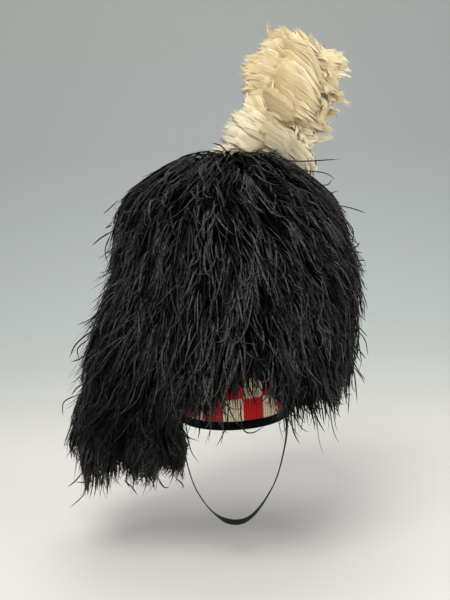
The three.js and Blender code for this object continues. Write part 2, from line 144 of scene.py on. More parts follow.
# The curtain that hangs from the crown over the tails: the degrees that it spans, where its tufts start and
# end, as shares of the way down, and its layers
CURTAIN_DEG = (138, 225)
CURTAIN_START = (0.40, 0.86)
CURTAIN_HEM = (0.86, 1.06)
# Their tone ranges too are partly painted shade, darker on the deeper layers
CURTAIN_LAYERS = [
    dict(tufts=300, members=6, length=(70, 125), half_width=(0.9, 1.5), depth=(-14, -4), splay=0.10,
         tone=(0.0, 0.3), stations=7),
    dict(tufts=260, members=5, length=(55, 110), half_width=(0.7, 1.2), depth=(-8, 3), splay=0.16,
         tone=(0.15, 0.7), stations=9),
    dict(tufts=150, members=2, length=(35, 70), half_width=(0.45, 0.75), depth=(0, 6), splay=0.22,
         tone=(0.2, 0.9), stations=9, flick=16.0),
]
# The fringe of fine strands over the band: degrees, the share of it that hangs before them, and how far it
# hangs below the hem there, as a share of the way down
FRINGE_STRANDS = 400
FRINGE_STATIONS = 7
FRINGE = np.array([
    (228, 0.0, 0.02), (240, 0.16, 0.026), (250, 0.34, 0.035), (258, 0.50, 0.04), (266, 0.64, 0.05),
    (272, 0.69, 0.06), (282, 0.75, 0.06), (290, 0.8, 0.055), (296, 0.89, 0.04), (306, 1.0, 0.02),
])
# The shell under the strands, near black with painted shade, in millimetres
BED_COLUMNS = 180
BED_SINK = 17
BED_ROUGH = 1.2
BED_HEM_SINK = 40
BED_HEM_RISE = 4
BED_CLEAR = 2.5  # from the cap
# Near black: painted shade for the under-plumage and the tails' cores, which lie deep inside
DEEP_SHADE_TONE = 0.03
SKIRT_ROOT = 100  # height where the skirt leaves the cap

# The tails' routes in millimetres, from the cap or band down
TAILS = {
    "tail_outer_back": [
        (-58, 38, 116), (-122, 57, 135), (-150, 61, 112), (-173, 58, 68), (-208, 46, 6), (-234, 34, -50)],
    "tail_outer_front": [
        (-62, -38, 116), (-128, -34, 138), (-160, -26, 114), (-174, -22, 60), (-190, -22, 0),
        (-200, -22, -84)],
    "tail_middle": [
        (-70, 6, 116), (-123, 14, 134), (-144, 20, 108), (-152, 22, 50), (-162, 22, -20), (-166, 22, -86)],
    "tail_inner_front": [
        (-70, -27, 74), (-108, -26, 72), (-126, -20, 40), (-130, -17, -10), (-131, -16, -50),
        (-131, -16, -82)],
    "tail_inner_back": [
        (-66, 32, 76), (-95, 37, 66), (-101, 31, 22), (-101, 29, -15), (-99, 28, -50), (-98, 28, -86)],
}
TAIL_RADII = [6, 14, 20, 24, 28, 20]
# Their ribbons: lengths are shares of the route, half widths millimetres, and fullness shares of the radius
TAIL_TUFTS = 190
TAIL_MEMBERS = 6
TAIL_STATIONS = 8
TAIL_CUP = 0.35
TAIL_DROP = 260  # how far strands hang past the route's end, for a share of its length
TAIL_LENGTHS = (0.22, 0.38)
TAIL_HALF_WIDTHS = (0.7, 1.3)
TAIL_TONES = (0.08, 0.92)
TAIL_FULLNESS = (0.3, 0.75)
# Their cores
TAIL_CORE_RINGS = 16
TAIL_CORE_SIDES = 10
TAIL_CORE_SPAN = (0.02, 0.93)
TAIL_CORE_SHARE = 0.55  # of the tail's radius

# Single strands that stand away from the rest, in millimetres: the y of each group, and for each strand
# x and z of the points from its root to its tip
STRAY_STATIONS = 18
STRAYS = [
    # round the top
    (-30, [
        (68, 357, 108, 351, 163, 351), (108, 339, 142, 333, 156, 323), (127, 319, 144, 317, 151, 325),
        (12, 364, 2, 377, -11, 382), (65, 362, 73, 365, 79, 369), (40, 359, 49, 367, 57, 371),
        (141, 303, 150, 306, 159, 308),
    ]),
    # down the left side
    (-15, [
        (160, 289, 179, 284, 199, 276), (174, 265, 180, 251, 177, 233), (174, 229, 183, 230, 189, 236),
        (174, 227, 184, 223, 192, 221), (177, 218, 185, 212, 195, 210), (179, 201, 189, 197, 197, 195),
        (180, 198, 188, 186, 193, 176), (177, 184, 189, 166, 196, 143), (175, 170, 185, 151, 190, 129),
        (171, 152, 183, 136, 193, 124), (171, 135, 185, 114, 195, 102), (167, 125, 189, 101, 194, 75),
        (165, 102, 180, 86, 191, 71), (166, 94, 177, 79, 184, 66), (166, 82, 180, 54, 190, 40),
        (168, 68, 183, 46, 188, 35), (163, 88, 173, 53, 176, 9), (159, 60, 165, 28, 162, -9),
        (156, 54, 161, 31, 160, 8), (163, 114, 178, 93, 178, 70),
    ]),
    # down the right side
    (0, [
        (-147, 313, -161, 301, -170, 295), (-156, 271, -175, 261, -188, 251),
        (-159, 269, -170, 244, -167, 224), (-183, 158, -199, 146, -217, 139),
        (-186, 154, -198, 144, -208, 137), (-196, 131, -220, 112, -231, 93),
        (-200, 120, -218, 105, -217, 89), (-207, 97, -217, 90, -228, 87), (-219, 40, -243, 29, -246, 7),
        (-210, 55, -223, 49, -231, 39), (-158, 279, -164, 276, -168, 275),
    ]),
    # over the band and the brow
    (-138, [
        (-74, 59, -71, 25, -60, 5, -45, -2), (-62, 51, -61, 16, -57, -13, -47, -31),
        (-45, 57, -44, 19, -47, 0), (-4, 55, -10, 19, -15, 6, -25, -11), (8, 48, 10, 12, 21, 5, 38, 13),
        (71, 38, 72, 16, 74, 2, 81, -13),
    ]),
    # below the tails
    (0, [
        (-216, -84, -223, -107, -245, -127), (-221, -72, -233, -86, -246, -96),
        (-207, -89, -222, -90, -234, -89), (-164, -90, -153, -101, -146, -113),
        (-88, -91, -79, -102, -81, -108), (-157, -75, -161, -90, -156, -102),
        (-115, -89, -107, -103, -99, -104),
    ]),
]

# The hackle's body in millimetres, from the bottom up: height, middle, half width
HACKLE_BODY = np.array([
    (322, 114, 14), (350, 106, 36), (384, 76, 58), (408, 84, 62), (440, 108, 62), (470, 112, 62),
    (500, 116, 54), (524, 112, 34), (540, 106, 12),
])
HACKLE_MIDDLE_Y = 42
HACKLE_DEPTH = 0.72  # half depth of the body, as a share of its half width
# Painted light: feathers low on the hackle, which lie in shade, are made paler
FOOT_PAINTED_LIGHT = np.array([(380, 0.6), (430, 0.0)])  # height, and how much paler the feathers that start there are
CORE_SIDES = 20
CORE_SHARE = 0.6  # of the body's half width
CORE_SINK = 4.0
# Pale: painted light that lifts the shade in the gaps where the core shows
CORE_PAINTED_LIGHT_TONE = 0.8
BARBS = 56  # in one feather
BARB_STATIONS = 5
BARB_SHAPE = np.array([0.55, 0.9, 1.0, 0.9, 0.1])  # of its width, along it
BUNCH_CHANCE = 0.1  # that a barb starts a new bunch
PLATE_STATIONS = np.array([0.0, 0.07, 0.25, 0.8, 1.0])
PLATE_SHOULDER = 0.3  # share of a plate's length over which it rounds out to its full width
FEATHER_MARGIN = 0.04  # of a feather's cell in the texture square
BODY_TONES = (0.52, 0.12)  # mean and spread
SIDE_TONES = (0.55, 0.15)
DROOP_LOOK = np.array([-0.4, 0.0, -0.55])  # drooping plates look this much more to the right and down
# Plates and fans round its sides: heights of their roots, how far they rise or fall, and half widths
SIDE_PLATES = dict(count=38, root=(350, 500), rise=(-34, 26), half_width=(9, 13))
COLLAR_PLATES = dict(count=14, root=320.0, rise=(34, 48), half_width=12.0)
SIDE_FANS = dict(count=84, root=(372, 520), fall=(10, 32), half_width=(8, 13))
FOOT_FANS = dict(count=14, root=374.0, fall=(34, 46))
LEFT_SHARE = 0.6  # of the side fans that lie on the left
# Its layers: before (-1) or behind (1) the middle plane, share of the depth, looseness
HACKLE_LAYERS = [(-1, 1.0, 0.4), (-1, 0.78, 3.0), (-1, 0.55, 4.0), (1, 1.0, 2.0), (1, 0.7, 4.0)]
LOOSE_COLUMNS = np.array([1, 1, 1, 1, 1, 1, 0.2, 0.3])  # how much of the looseness each column below takes
# Its feathers, seen from the front, in millimetres: root x and z, middle x and z, tip x and z, half width,
# and how far the feather stands before the body's surface. The first rows are broad plates
DROOPING_PLATES = 13
PLATES = 21
HACKLE_FEATHERS = np.array([
    # plates across the front that droop to the left, from the top down
    (81, 520, 118, 511, 150, 464, 13, 1), (75, 517, 116, 504, 144, 453, 13, 2),
    (92, 515, 117, 496, 141, 450, 10, 3), (87, 507, 113, 483, 139, 441, 11, 5),
    (81, 500, 107, 474, 137, 431, 13, 6), (76, 472, 103, 455, 138, 422, 16, 8),
    (80, 453, 94, 443, 106, 424, 10, 8), (97, 439, 113, 425, 136, 409, 10, 8),
    (56, 449, 79, 431, 102, 406, 16, 11), (59, 420, 73, 411, 88, 399, 9, 11),
    (47, 402, 76, 389, 96, 362, 16, 12), (67, 404, 89, 393, 109, 378, 7, 13),
    (88, 384, 109, 370, 121, 347, 11, 5),
    # plates that point to the right
    (98, 480, 78, 500, 59, 512, 11, 4), (96, 491, 83, 508, 75, 523, 11, 3),
    (87, 475, 65, 491, 43, 501, 11, 5), (84, 464, 65, 479, 42, 487, 13, 6),
    (79, 453, 63, 465, 40, 473, 11, 7), (61, 407, 51, 433, 42, 458, 13, 9),
    (62, 371, 43, 386, 23, 402, 13, 9), (60, 387, 44, 405, 31, 428, 11, 9),
    # crest at the top
    (122, 508, 109, 527, 102, 543, 10, 0), (129, 508, 119, 526, 112, 540, 9, 0),
    (131, 515, 122, 532, 114, 545, 2, 0), (139, 508, 132, 526, 125, 546, 7, 0),
    (144, 503, 139, 523, 136, 540, 9, 0), (151, 500, 148, 517, 146, 531, 9, 0),
    (157, 493, 155, 510, 153, 520, 7, 0), (114, 510, 101, 528, 94, 544, 9, 0),
    # tips down the right edge
    (102, 525, 88, 539, 77, 550, 8, 6), (109, 521, 96, 536, 86, 546, 9, 6),
    (109, 518, 92, 530, 79, 539, 9, 6), (106, 515, 92, 524, 79, 529, 9, 6),
    (101, 510, 83, 519, 70, 525, 10, 6), (101, 507, 80, 515, 60, 520, 10, 6),
    (93, 499, 68, 506, 43, 511, 9, 6), (93, 493, 67, 501, 46, 504, 9, 6), (93, 487, 64, 494, 38, 496, 6, 6),
    (89, 476, 64, 485, 44, 490, 10, 6), (86, 468, 60, 478, 39, 480, 7, 6),
    (84, 462, 60, 469, 41, 473, 9, 6), (84, 454, 60, 461, 37, 465, 10, 6),
    (79, 442, 58, 448, 39, 453, 10, 6), (76, 431, 57, 439, 43, 444, 10, 6),
    # loose feathers low on the right
    (77, 406, 52, 425, 35, 440, 9, 8), (70, 398, 45, 418, 29, 434, 7, 8), (64, 390, 37, 413, 19, 432, 6, 8),
    (64, 384, 39, 407, 21, 421, 7, 8), (61, 381, 30, 402, 9, 415, 7, 8), (61, 377, 27, 395, 3, 406, 7, 8),
    (61, 373, 27, 386, 3, 397, 7, 8), (58, 370, 23, 379, -5, 386, 7, 8), (52, 368, 17, 375, -13, 380, 6, 8),
    (73, 395, 45, 411, 26, 426, 9, 8), (82, 398, 60, 413, 46, 431, 9, 8), (79, 386, 50, 399, 31, 414, 9, 8),
    # lobes and tips at the left edge
    (133, 487, 161, 499, 189, 495, 14, -3), (138, 481, 172, 490, 193, 484, 11, -3),
    (141, 484, 170, 482, 193, 475, 8, -3), (141, 481, 164, 474, 179, 462, 12, -4),
    (129, 467, 155, 463, 172, 464, 9, -9), (120, 456, 155, 459, 182, 453, 10, -4),
    (146, 456, 172, 449, 194, 434, 4, -9), (146, 452, 168, 445, 181, 439, 4, -9),
    (158, 495, 174, 504, 188, 508, 1, -9), (127, 445, 148, 438, 168, 438, 6, -9),
    (136, 436, 159, 433, 178, 429, 3, -9), (136, 430, 156, 423, 172, 418, 2, -9),
    (119, 436, 142, 427, 162, 404, 12, -9), (112, 420, 141, 410, 168, 394, 9, -9),
    (103, 400, 134, 390, 165, 391, 6, -9), (106, 406, 129, 399, 143, 398, 7, -9),
    (97, 395, 122, 385, 143, 387, 7, -9),
    # feathers round the foot
    (82, 387, 108, 377, 129, 361, 12, -3), (73, 382, 99, 372, 121, 350, 12, -3),
    (62, 391, 87, 378, 112, 374, 10, -3), (29, 384, 61, 374, 89, 352, 15, -3),
])

# The chin strap's route in millimetres, from the wearer's right to the left
STRAP_ROUTE = [
    (-71.9, 0, 30), (-71.9, 0, 0), (-76, -6, -20), (-72, -15, -56), (-59, -38, -95), (-34, -69, -121),
    (-6, -80, -131), (21, -70, -124), (52, -38, -93), (70, -14, -50), (75.5, -4, -18), (71.9, 0, 0),
    (71.9, 0, 30),
]
STRAP_WIDTH = 8.0
STRAP_THICK = 1.6
STRAP_STATIONS = 150
STRAP_SIDES = 12
STRAP_ROUNDING = np.array([0.35, 0.7])  # powers that square off the section's width and thickness
STRAP_FACES = np.array([0.0, 12.0, -50.0])  # its broad side faces this point, but for its turn
# How far it turns about its own route: share of its length, degrees
STRAP_TURN = np.array([
    (0.06, 0), (0.13, 13), (0.42, 12), (0.45, -8), (0.48, -34), (0.51, -36), (0.545, -12), (0.60, 0),
    (0.68, 13), (0.80, 10), (0.87, -6), (0.91, -14), (0.96, 0),
])

# The band in millimetres, with its mean half width and half length for the stitches
BAND_FOOT = 11.4
BAND_TOP = 92.0
BAND_OFFSET = 0.4
BAND_WALL = 2.2
BAND_MEAN = np.array([79.5, 101.0])
BAND_EDGE = 0.3
BACKING_SINK = 1.1
DICE_ROUND = 20
STITCHES_PER_DICE = 8
STITCH_ROWS = 25
STITCH_ROWS_PER_DICE = 9
DICE_TURN_DEG = 10.7
YARN_SHAPE = np.array([0.8, 1.0, 0.7])  # of its width, along one leg of a stitch
YARN_HALF_WIDTH = 0.17  # as a share of a stitch's width
YARN_CUP = 0.75
YARN_SINK = 0.9
YARN_BULGE = 0.75

# The binding in millimetres
BINDING_HEIGHT = 11.0
BINDING_PROUD = 0.8
BINDING_ROUND = 1.4
BINDING_BULGE = 0.25
BINDING_FOLD = 0.8  # thickness under the rim
BINDING_COLUMNS = 216
RIM_RADIUS = 91  # on average, which spaces the ribs
RIB_PITCH = 0.9

SEEDS = dict(stitches=5, underplumage=11, crown=21, hackle=41, hackle_sides=43, tails=60)


# Curves and small array helpers

def way_along(points):
    """The way from the first point to each, along the line through them."""
    return np.concatenate([[0], np.cumsum(np.linalg.norm(np.diff(points, axis=0), axis=1))])


def smooth_curve(points, count, steps=24):
    """Points evenly spaced along a smooth curve through the given ones, with any number of columns."""
    points = np.asarray(points, float)
    padded = np.vstack([2 * points[0] - points[1], points, 2 * points[-1] - points[-2]])
    t = np.linspace(0, 1, steps, endpoint=False)[:, None]
    rows = []
    for a, b, c, d in zip(padded, padded[1:], padded[2:], padded[3:]):
        rows.append(0.5 * (2 * b + (c - a) * t + (2 * a - 5 * b + 4 * c - d) * t**2
                           + (3 * b - a - 3 * c + d) * t**3))
    dense = np.vstack(rows + [points[-1:]])
    length = way_along(dense[:, :3])
    at = np.linspace(0, length[-1], count)
    return np.stack([np.interp(at, length, column) for column in dense.T], axis=1)


def look_up(table, at, column=1):
    """Reads a column of a table by its first column, with straight lines between the rows."""
    return np.interp(at, table[:, 0], table[:, column])


def unit(vectors):
    return vectors / np.maximum(np.linalg.norm(vectors, axis=-1, keepdims=True), 1e-9)


def smoothstep(x):
    x = np.clip(x, 0, 1)
    return x * x * (3 - 2 * x)


def turns(count):
    """Angles evenly spaced round a full turn."""
    return np.arange(count) / count * TAU


def ellipse_angles(count, half_width, half_length):
    """Angles of points evenly spaced round an ellipse, starting at the front."""
    angle = np.linspace(-TAU / 4, 3 * TAU / 4, 2881)
    length = way_along(np.stack([half_width * np.cos(angle), half_length * np.sin(angle)], axis=1))
    return np.interp(np.arange(count) / count * length[-1], length, angle)


def cap_wall(angle, z, offset):
    """Points on the cap's outer wall, in millimetres, moved out by some offset."""
    width = look_up(CAP_SECTIONS, z, 1) + offset
    length = look_up(CAP_SECTIONS, z, 2) + offset
    return np.stack(np.broadcast_arrays(width * np.cos(angle), length * np.sin(angle), z), axis=-1)


# Meshes

def mesh_object(name, vertices, quads, material, uv=None, **values):
    """An object from arrays of millimetres. Values are float attributes of its points."""
    mesh = bpy.data.meshes.new(name)
    vertices = np.ascontiguousarray(vertices, np.float32) * np.float32(MM)
    quads = np.ascontiguousarray(quads, np.int32)
    mesh.vertices.add(len(vertices))
    mesh.vertices.foreach_set("co", vertices.ravel())
    mesh.loops.add(quads.size)
    mesh.loops.foreach_set("vertex_index", quads.ravel())
    mesh.polygons.add(len(quads))
    mesh.polygons.foreach_set("loop_start", np.arange(0, quads.size, 4, dtype=np.int32))
    mesh.update(calc_edges=True)
    mesh.shade_smooth()
    if uv is not None:
        layer = mesh.uv_layers.new(name="OFBake")
        layer.uv.foreach_set("vector", np.ascontiguousarray(uv[quads.ravel()], np.float32).ravel())
    for key, numbers in values.items():
        attribute = mesh.attributes.new(key, "FLOAT", "POINT")
        attribute.data.foreach_set("value", np.ascontiguousarray(numbers, np.float32).ravel())
    mesh.materials.append(material)
    obj = bpy.data.objects.new(name, mesh)
    bpy.context.collection.objects.link(obj)
    return obj


def place(obj, slot, *replaced):
    """Rides a piece on the part's one body and hides the CAD nodes that it stands for. Its slot is not used.
    """
    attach(obj, "root")
    if replaced:
        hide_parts(*replaced)


def grid_quads(rows, columns, wrap_rows=False, wrap_columns=False):
    """Quads of a grid of points that is numbered row by row."""
    r = np.arange(rows if wrap_rows else rows - 1)[:, None]
    c = np.arange(columns if wrap_columns else columns - 1)[None, :]
    row = r * columns
    next_row = (r + 1) % rows * columns
    next_c = (c + 1) % columns
    return np.stack([row + c, next_row + c, next_row + next_c, row + next_c], -1).reshape(-1, 4)


def grid_object(name, rows, material, wrap_rows=False, wrap_columns=True, **values):
    """An object from rows of points, which close round unless they are told not to."""
    quads = grid_quads(*rows.shape[:2], wrap_rows, wrap_columns)
    return mesh_object(name, rows.reshape(-1, 3), quads, material, **values)


class Strands:
    """Collects small pieces for one mesh, such as ribbons. Each takes one cell of the texture square."""

    def __init__(self):
        self.blocks = []

    def keep(self, vertices, pattern, inside, tone, along):
        """Adds pieces of one layout: pattern has the quads of one, the rest are arrays by piece and point."""
        self.blocks.append((vertices, pattern, inside, tone, along))

    def add(self, points, out, half_width, tone, twist, cup):
        """Adds ribbons: points is (ribbons, stations, 3), and out is the way that a ribbon's face looks."""
        n, s, _ = points.shape
        ahead = unit(np.gradient(points, axis=1))
        across = unit(np.cross(ahead, np.broadcast_to(out, points.shape)))
        face = np.cross(across, ahead)
        turn = np.broadcast_to(np.asarray(twist, float).reshape(-1, 1, 1), (n, s, 1))
        turned = across * np.cos(turn) + face * np.sin(turn)
        ridge = face * np.cos(turn) - across * np.sin(turn)
        w = np.broadcast_to(half_width, (n, s))[..., None]
        vertices = np.stack([points + turned * w, points + ridge * w * cup, points - turned * w], axis=2)
        share = np.broadcast_to(np.linspace(0, 1, s)[:, None], (n, s, 3))
        side = np.broadcast_to(np.array([0.0, 0.5, 1.0]), (n, s, 3))
        self.keep(
            vertices.reshape(n, -1, 3), grid_quads(s, 3), np.stack([side, share], -1).reshape(n, -1, 2),
            np.broadcast_to(np.reshape(tone, (-1, 1)), (n, s * 3)), share.reshape(n, -1))

    def add_core(self, rings, tone, along=1.0):
        """Adds a plain tube. Its values along run from nought to the one given."""
        rows, columns, _ = rings.shape
        row = np.repeat(np.linspace(0, 1, rows), columns)[None]
        column = np.tile(np.linspace(0, 1, columns), rows)[None]
        quads = grid_quads(rows, columns, wrap_columns=True)
        inside = np.stack([column, row], -1)
        self.keep(rings.reshape(1, -1, 3), quads, inside, np.full(row.shape, tone), along * row)

    def build(self, name, material, margin=0.08):
        """One mesh of all the pieces, with a margin round each piece's cell."""
        side = math.ceil(math.sqrt(sum(len(block[0]) for block in self.blocks)))
        quads, uv = [], []
        cells = points = 0
        for vertices, pattern, inside, _, _ in self.blocks:
            count, size, _ = vertices.shape
            cell = cells + np.arange(count)
            corner = np.stack([cell % side, cell // side], -1)[:, None]
            uv.append((corner + margin + (1 - 2 * margin) * inside) / side)
            quads.append(pattern + points + (np.arange(count) * size)[:, None, None])
            cells += count
            points += count * size
        vertices, _, _, tone, along = zip(*self.blocks)

        def joined(parts, *shape):
            return np.concatenate([part.reshape(-1, *shape) for part in parts])

        return mesh_object(
            name, joined(vertices, 3), joined(quads, 4), material, joined(uv, 2),
            tone=joined(tone), along=joined(along))


# Materials

class Nodes:
    """A material's node tree. A socket takes a number or another node's output."""

    def __init__(self, name):
        self.material = bpy.data.materials.new(name)
        self.material.use_nodes = True
        self.tree = self.material.node_tree

    def fill(self, node, sockets):
        for key, value in sockets.items():
            if isinstance(value, bpy.types.NodeSocket):
                self.tree.links.new(value, node.inputs[key])
            else:
                node.inputs[key].default_value = value

    def add(self, kind, output, sockets, **settings):
        """Adds a node and returns one of its outputs."""
        made = self.tree.nodes.new("ShaderNode" + kind)
        for key, value in settings.items():
            setattr(made, key, value)
        self.fill(made, sockets)
        return made.outputs[output]

    def attribute(self, name):
        return self.add("Attribute", "Fac", {}, attribute_name=name)

    def place(self):
        return self.add("TexCoord", "Object", {})

    def noise(self, scale, detail=3.0):
        return self.add("TexNoise", "Fac", dict(Vector=self.place(), Scale=scale, Detail=detail))

    def bands(self, scale, distortion=0.0):
        """Fine bands, one above the other."""
        sockets = dict(Vector=self.place(), Scale=scale, Distortion=distortion)
        return self.add("TexWave", "Fac", sockets, wave_type="BANDS", bands_direction="Z")

    def math(self, operation, a, b=0.0):
        return self.add("Math", "Value", {0: a, 1: b}, operation=operation)

    def spread(self, value, low, high, first=0.0, last=1.0):
        """Maps the range from first to last onto the one from low to high."""
        ends = {"From Min": first, "From Max": last, "To Min": low, "To Max": high}
        return self.add("MapRange", "Result", {"Value": value, **ends})

    def bump(self, height, distance, strength):
        return self.add("Bump", "Normal", dict(Height=height, Distance=distance, Strength=strength))

    def ramp(self, value, *stops):
        """Blends colours by a value. A stop is a place and its colour."""
        made = self.tree.nodes.new("ShaderNodeValToRGB")
        elements = made.color_ramp.elements
        while len(elements) < len(stops):
            elements.new(0.5)
        for element, (at, colour) in zip(elements, stops):
            element.position = at
            element.color = (*colour, 1.0)
        self.fill(made, dict(Fac=value))
        return made.outputs["Color"]

    def shaded(self, **sockets):
        """The material, once its shader's sockets are filled."""
        shader = self.tree.nodes["Principled BSDF"]
        self.fill(shader, {key.replace("_", " "): value for key, value in sockets.items()})
        return self.material


def black_feather():
    """Dyed ostrich: near black, darker on the deeper strands with painted shade, with a painted warm grey
    sheen in colour and gloss on the upper strands, and fine barbs across each ribbon.
    """
    m = Nodes("black_ostrich")
    # The tone is partly painted shade, low on deeper strands; noise makes it uneven and beaded
    uneven = m.math("MULTIPLY", m.attribute("tone"), m.spread(m.noise(60.0), 0.55, 1.45))
    beaded_tone_and_shade = m.math("MULTIPLY", uneven, m.spread(m.noise(330.0, 1.0), 0.45, 1.55, 0.3, 0.7))
    ribs = m.math("SINE", m.math("MULTIPLY", m.attribute("along"), BARB_RIBS))
    return m.shaded(
        Base_Color=m.ramp(
            beaded_tone_and_shade, (0.0, (0.0004, 0.0004, 0.0004)), (0.35, (0.0028, 0.0027, 0.0027)),
            (0.65, (0.0104, 0.0096, 0.0089)), (1.0, (0.040, 0.036, 0.031))),
        # Gloss follows the tone: painted shade dulls the deeper strands, a painted sheen lifts the upper ones
        Specular_IOR_Level=m.spread(beaded_tone_and_shade, 0.03, 0.66), Roughness=m.spread(m.noise(140.0), 0.36, 0.6),
        Normal=m.bump(ribs, 0.0002, 0.5))


def cream_feather():
    """Undyed plume: cream, paler on the outer barbs and tips with painted highlight, yellower and darker
    towards the root with painted shade.
    """
    m = Nodes("cream_hackle")
    tone = m.math("MULTIPLY", m.attribute("tone"), 0.7)
    # Darker towards the root, by along: painted shade
    tone_and_painted_shade = m.math("ADD", tone, m.math("MULTIPLY", m.attribute("along"), 0.3))
    return m.shaded(
        Base_Color=m.ramp(
            tone_and_painted_shade, (0.0, (0.48, 0.33, 0.14)), (0.35, (0.69, 0.53, 0.285)), (0.7, (0.84, 0.70, 0.42)),
            (1.0, (0.98, 0.90, 0.67))),
        Specular_IOR_Level=0.25, Sheen_Weight=0.15, Roughness=m.spread(m.noise(90.0), 0.55, 0.8),
        Normal=m.bump(m.noise(900.0, 2.0), 0.0002, 0.4))


def knit():
    """Wool yarn, dyed red or left cream, with fuzz and uneven dye, and painted shade that darkens the cloth
    behind the stitches.
    """
    m = Nodes("diced_wool")
    # Painted shade: the backing, whose along is -1, comes out darker than the yarn
    depth = m.spread(m.attribute("along"), 0.2, 1.0, -1.0, 0.0)
    fuzz_and_shade = m.math("MULTIPLY", m.noise(420.0, 4.0), depth)
    red = m.ramp(
        fuzz_and_shade, (0.05, (0.13, 0.002, 0.003)), (0.3, (0.54, 0.009, 0.012)), (0.7, (0.84, 0.024, 0.03)))
    cream = m.ramp(
        fuzz_and_shade, (0.05, (0.30, 0.21, 0.13)), (0.3, (0.84, 0.68, 0.48)), (0.7, (0.95, 0.84, 0.65)))
    return m.shaded(
        Base_Color=m.add("Mix", "Result", dict(Factor=m.attribute("tone"), A=red, B=cream), data_type="RGBA"),
        Specular_IOR_Level=0.15, Sheen_Weight=0.2, Roughness=0.92,
        Normal=m.bump(m.noise(1600.0, 2.0), 0.0002, 0.5))


def ribbon():
    """Black binding with a fine rib across it and worn, greyer spots."""
    m = Nodes("binding_ribbon")
    rib = m.math("SINE", m.math("MULTIPLY", m.attribute("tone"), TAU / RIB_PITCH))
    return m.shaded(
        Base_Color=m.ramp(
            m.noise(70.0, 5.0), (0.35, (0.0008, 0.0008, 0.0008)), (0.8, (0.003, 0.0028, 0.0028))),
        Specular_IOR_Level=0.05, Sheen_Weight=0.01, Roughness=m.spread(m.noise(120.0), 0.7, 0.9),
        Normal=m.bump(rib, 0.0002, 0.6))


def cap_cloth():
    """Black plain-weave cotton over the cage and inside it."""
    m = Nodes("cap_cloth")
    return m.shaded(
        Base_Color=m.ramp(
            m.noise(180.0, 4.0), (0.3, (0.006, 0.006, 0.007)), (0.8, (0.016, 0.016, 0.018))),
        Specular_IOR_Level=0.2, Roughness=0.9, Normal=m.bump(m.bands(260.0, 1.0), 0.0003, 0.6))


def leather():
    """Black strap leather with fine grain and paler, rubbed patches."""
    m = Nodes("strap_leather")
    return m.shaded(
        Base_Color=m.ramp(
            m.noise(90.0, 5.0), (0.35, (0.004, 0.0035, 0.0035)), (0.85, (0.018, 0.015, 0.013))),
        Specular_IOR_Level=0.2, Roughness=m.spread(m.noise(160.0), 0.36, 0.6),
        Normal=m.bump(m.noise(1400.0, 2.0), 0.0002, 0.5))


def wire():
    """Wound thread over the hackle's wire."""
    m = Nodes("stem_wire")
    thread = m.bands(300.0)
    return m.shaded(
        Base_Color=m.ramp(thread, (0.2, (0.10, 0.09, 0.08)), (0.8, (0.24, 0.22, 0.19))), Roughness=0.6,
        Normal=m.bump(thread, 0.0003, 0.6))


def paper():
    """The backdrop's paper, whose colour runs with the way along it, a little uneven; its darkening up the
    sweep and the wall is painted shade.
    """
    m = Nodes("backdrop_paper")
    share = m.spread(m.attribute("tone"), 0.0, 1.0, 0.0, PAPER_LENGTH)
    uneven = m.math("ADD", share, m.spread(m.noise(35.0, 4.0), -0.008, 0.008))
    return m.shaded(Base_Color=m.ramp(uneven, *PAPER_COLOURS_AND_SHADE), Roughness=0.9, Specular_IOR_Level=0.1)


# Camera, floor and light

def add_camera():
    """The photograph's camera, tilted down a little and rolled."""
    data = bpy.data.cameras.new("camera")
    data.lens = CAMERA_LENS_MM
    data.sensor_width = SENSOR_MM
    data.clip_end = FAR_CLIP
    camera = bpy.data.objects.new("camera", data)
    pitch = Matrix.Rotation(math.radians(90 + CAMERA_PITCH_DEG), 4, "X")
    roll = Matrix.Rotation(math.radians(-CAMERA_ROLL_DEG), 4, "Z")
    camera.matrix_world = Matrix.Translation(CAMERA_PLACE) @ pitch @ roll
    bpy.context.collection.objects.link(camera)
    bpy.context.scene.camera = camera


def add_stage():
    """A pale floor that sweeps up into a cool wall, greyed partly by its own colour and partly by painted
    shade.
    """
    bend = np.linspace(0, TAU / 4, SWEEP_STEPS)
    sweep_y = WALL_Y - SWEEP_RADIUS + SWEEP_RADIUS * np.sin(bend)
    sweep_z = FLOOR_Z + SWEEP_RADIUS * (1 - np.cos(bend))
    line = [(FLOOR_FRONT, FLOOR_Z), (0.0, FLOOR_Z), *zip(sweep_y, sweep_z), (WALL_Y, WALL_TOP)]
    way = way_along(line) + FLOOR_FRONT
    rows = np.array([[(x, y, z) for x in (-STAGE_HALF_WIDTH, STAGE_HALF_WIDTH)] for y, z in line])
    stage = grid_object("backdrop", rows / MM, paper(), wrap_columns=False, tone=np.repeat(way, 2))


def add_light(name, place_at, look_at, size, watts, colour):
    """A round lamp that looks at a point."""
    data = bpy.data.lights.new(name, "AREA")
    data.shape = "DISK"
    data.size = size
    data.energy = watts
    data.color = colour
    light = bpy.data.objects.new(name, data)
    light.location = place_at
    light.rotation_euler = (Vector(look_at) - Vector(place_at)).to_track_quat("-Z", "Y").to_euler()
    bpy.context.collection.objects.link(light)


def add_room():
    """The room's even light, and colours shown as they are."""
    world = bpy.data.worlds.new("room")
    world.use_nodes = True
    background = world.node_tree.nodes["Background"]
    background.inputs["Color"].default_value = ROOM_COLOUR
    background.inputs["Strength"].default_value = ROOM_STRENGTH
    bpy.context.scene.world = world
    bpy.context.scene.view_settings.view_transform = "Standard"


# The plumage of the crown

crown_line = smooth_curve(CROWN_SECTIONS[:, [0, 2, 1]], 400)
crown_slope = unit(np.gradient(crown_line[:, :2], axis=0))
crown_share = np.linspace(0, 1, len(crown_line))
crown_length = float(np.sum(np.linalg.norm(np.diff(crown_line[:, :2], axis=0), axis=1)))
crown_area = np.cumsum(crown_line[:, 0] + AREA_AT_TOP)


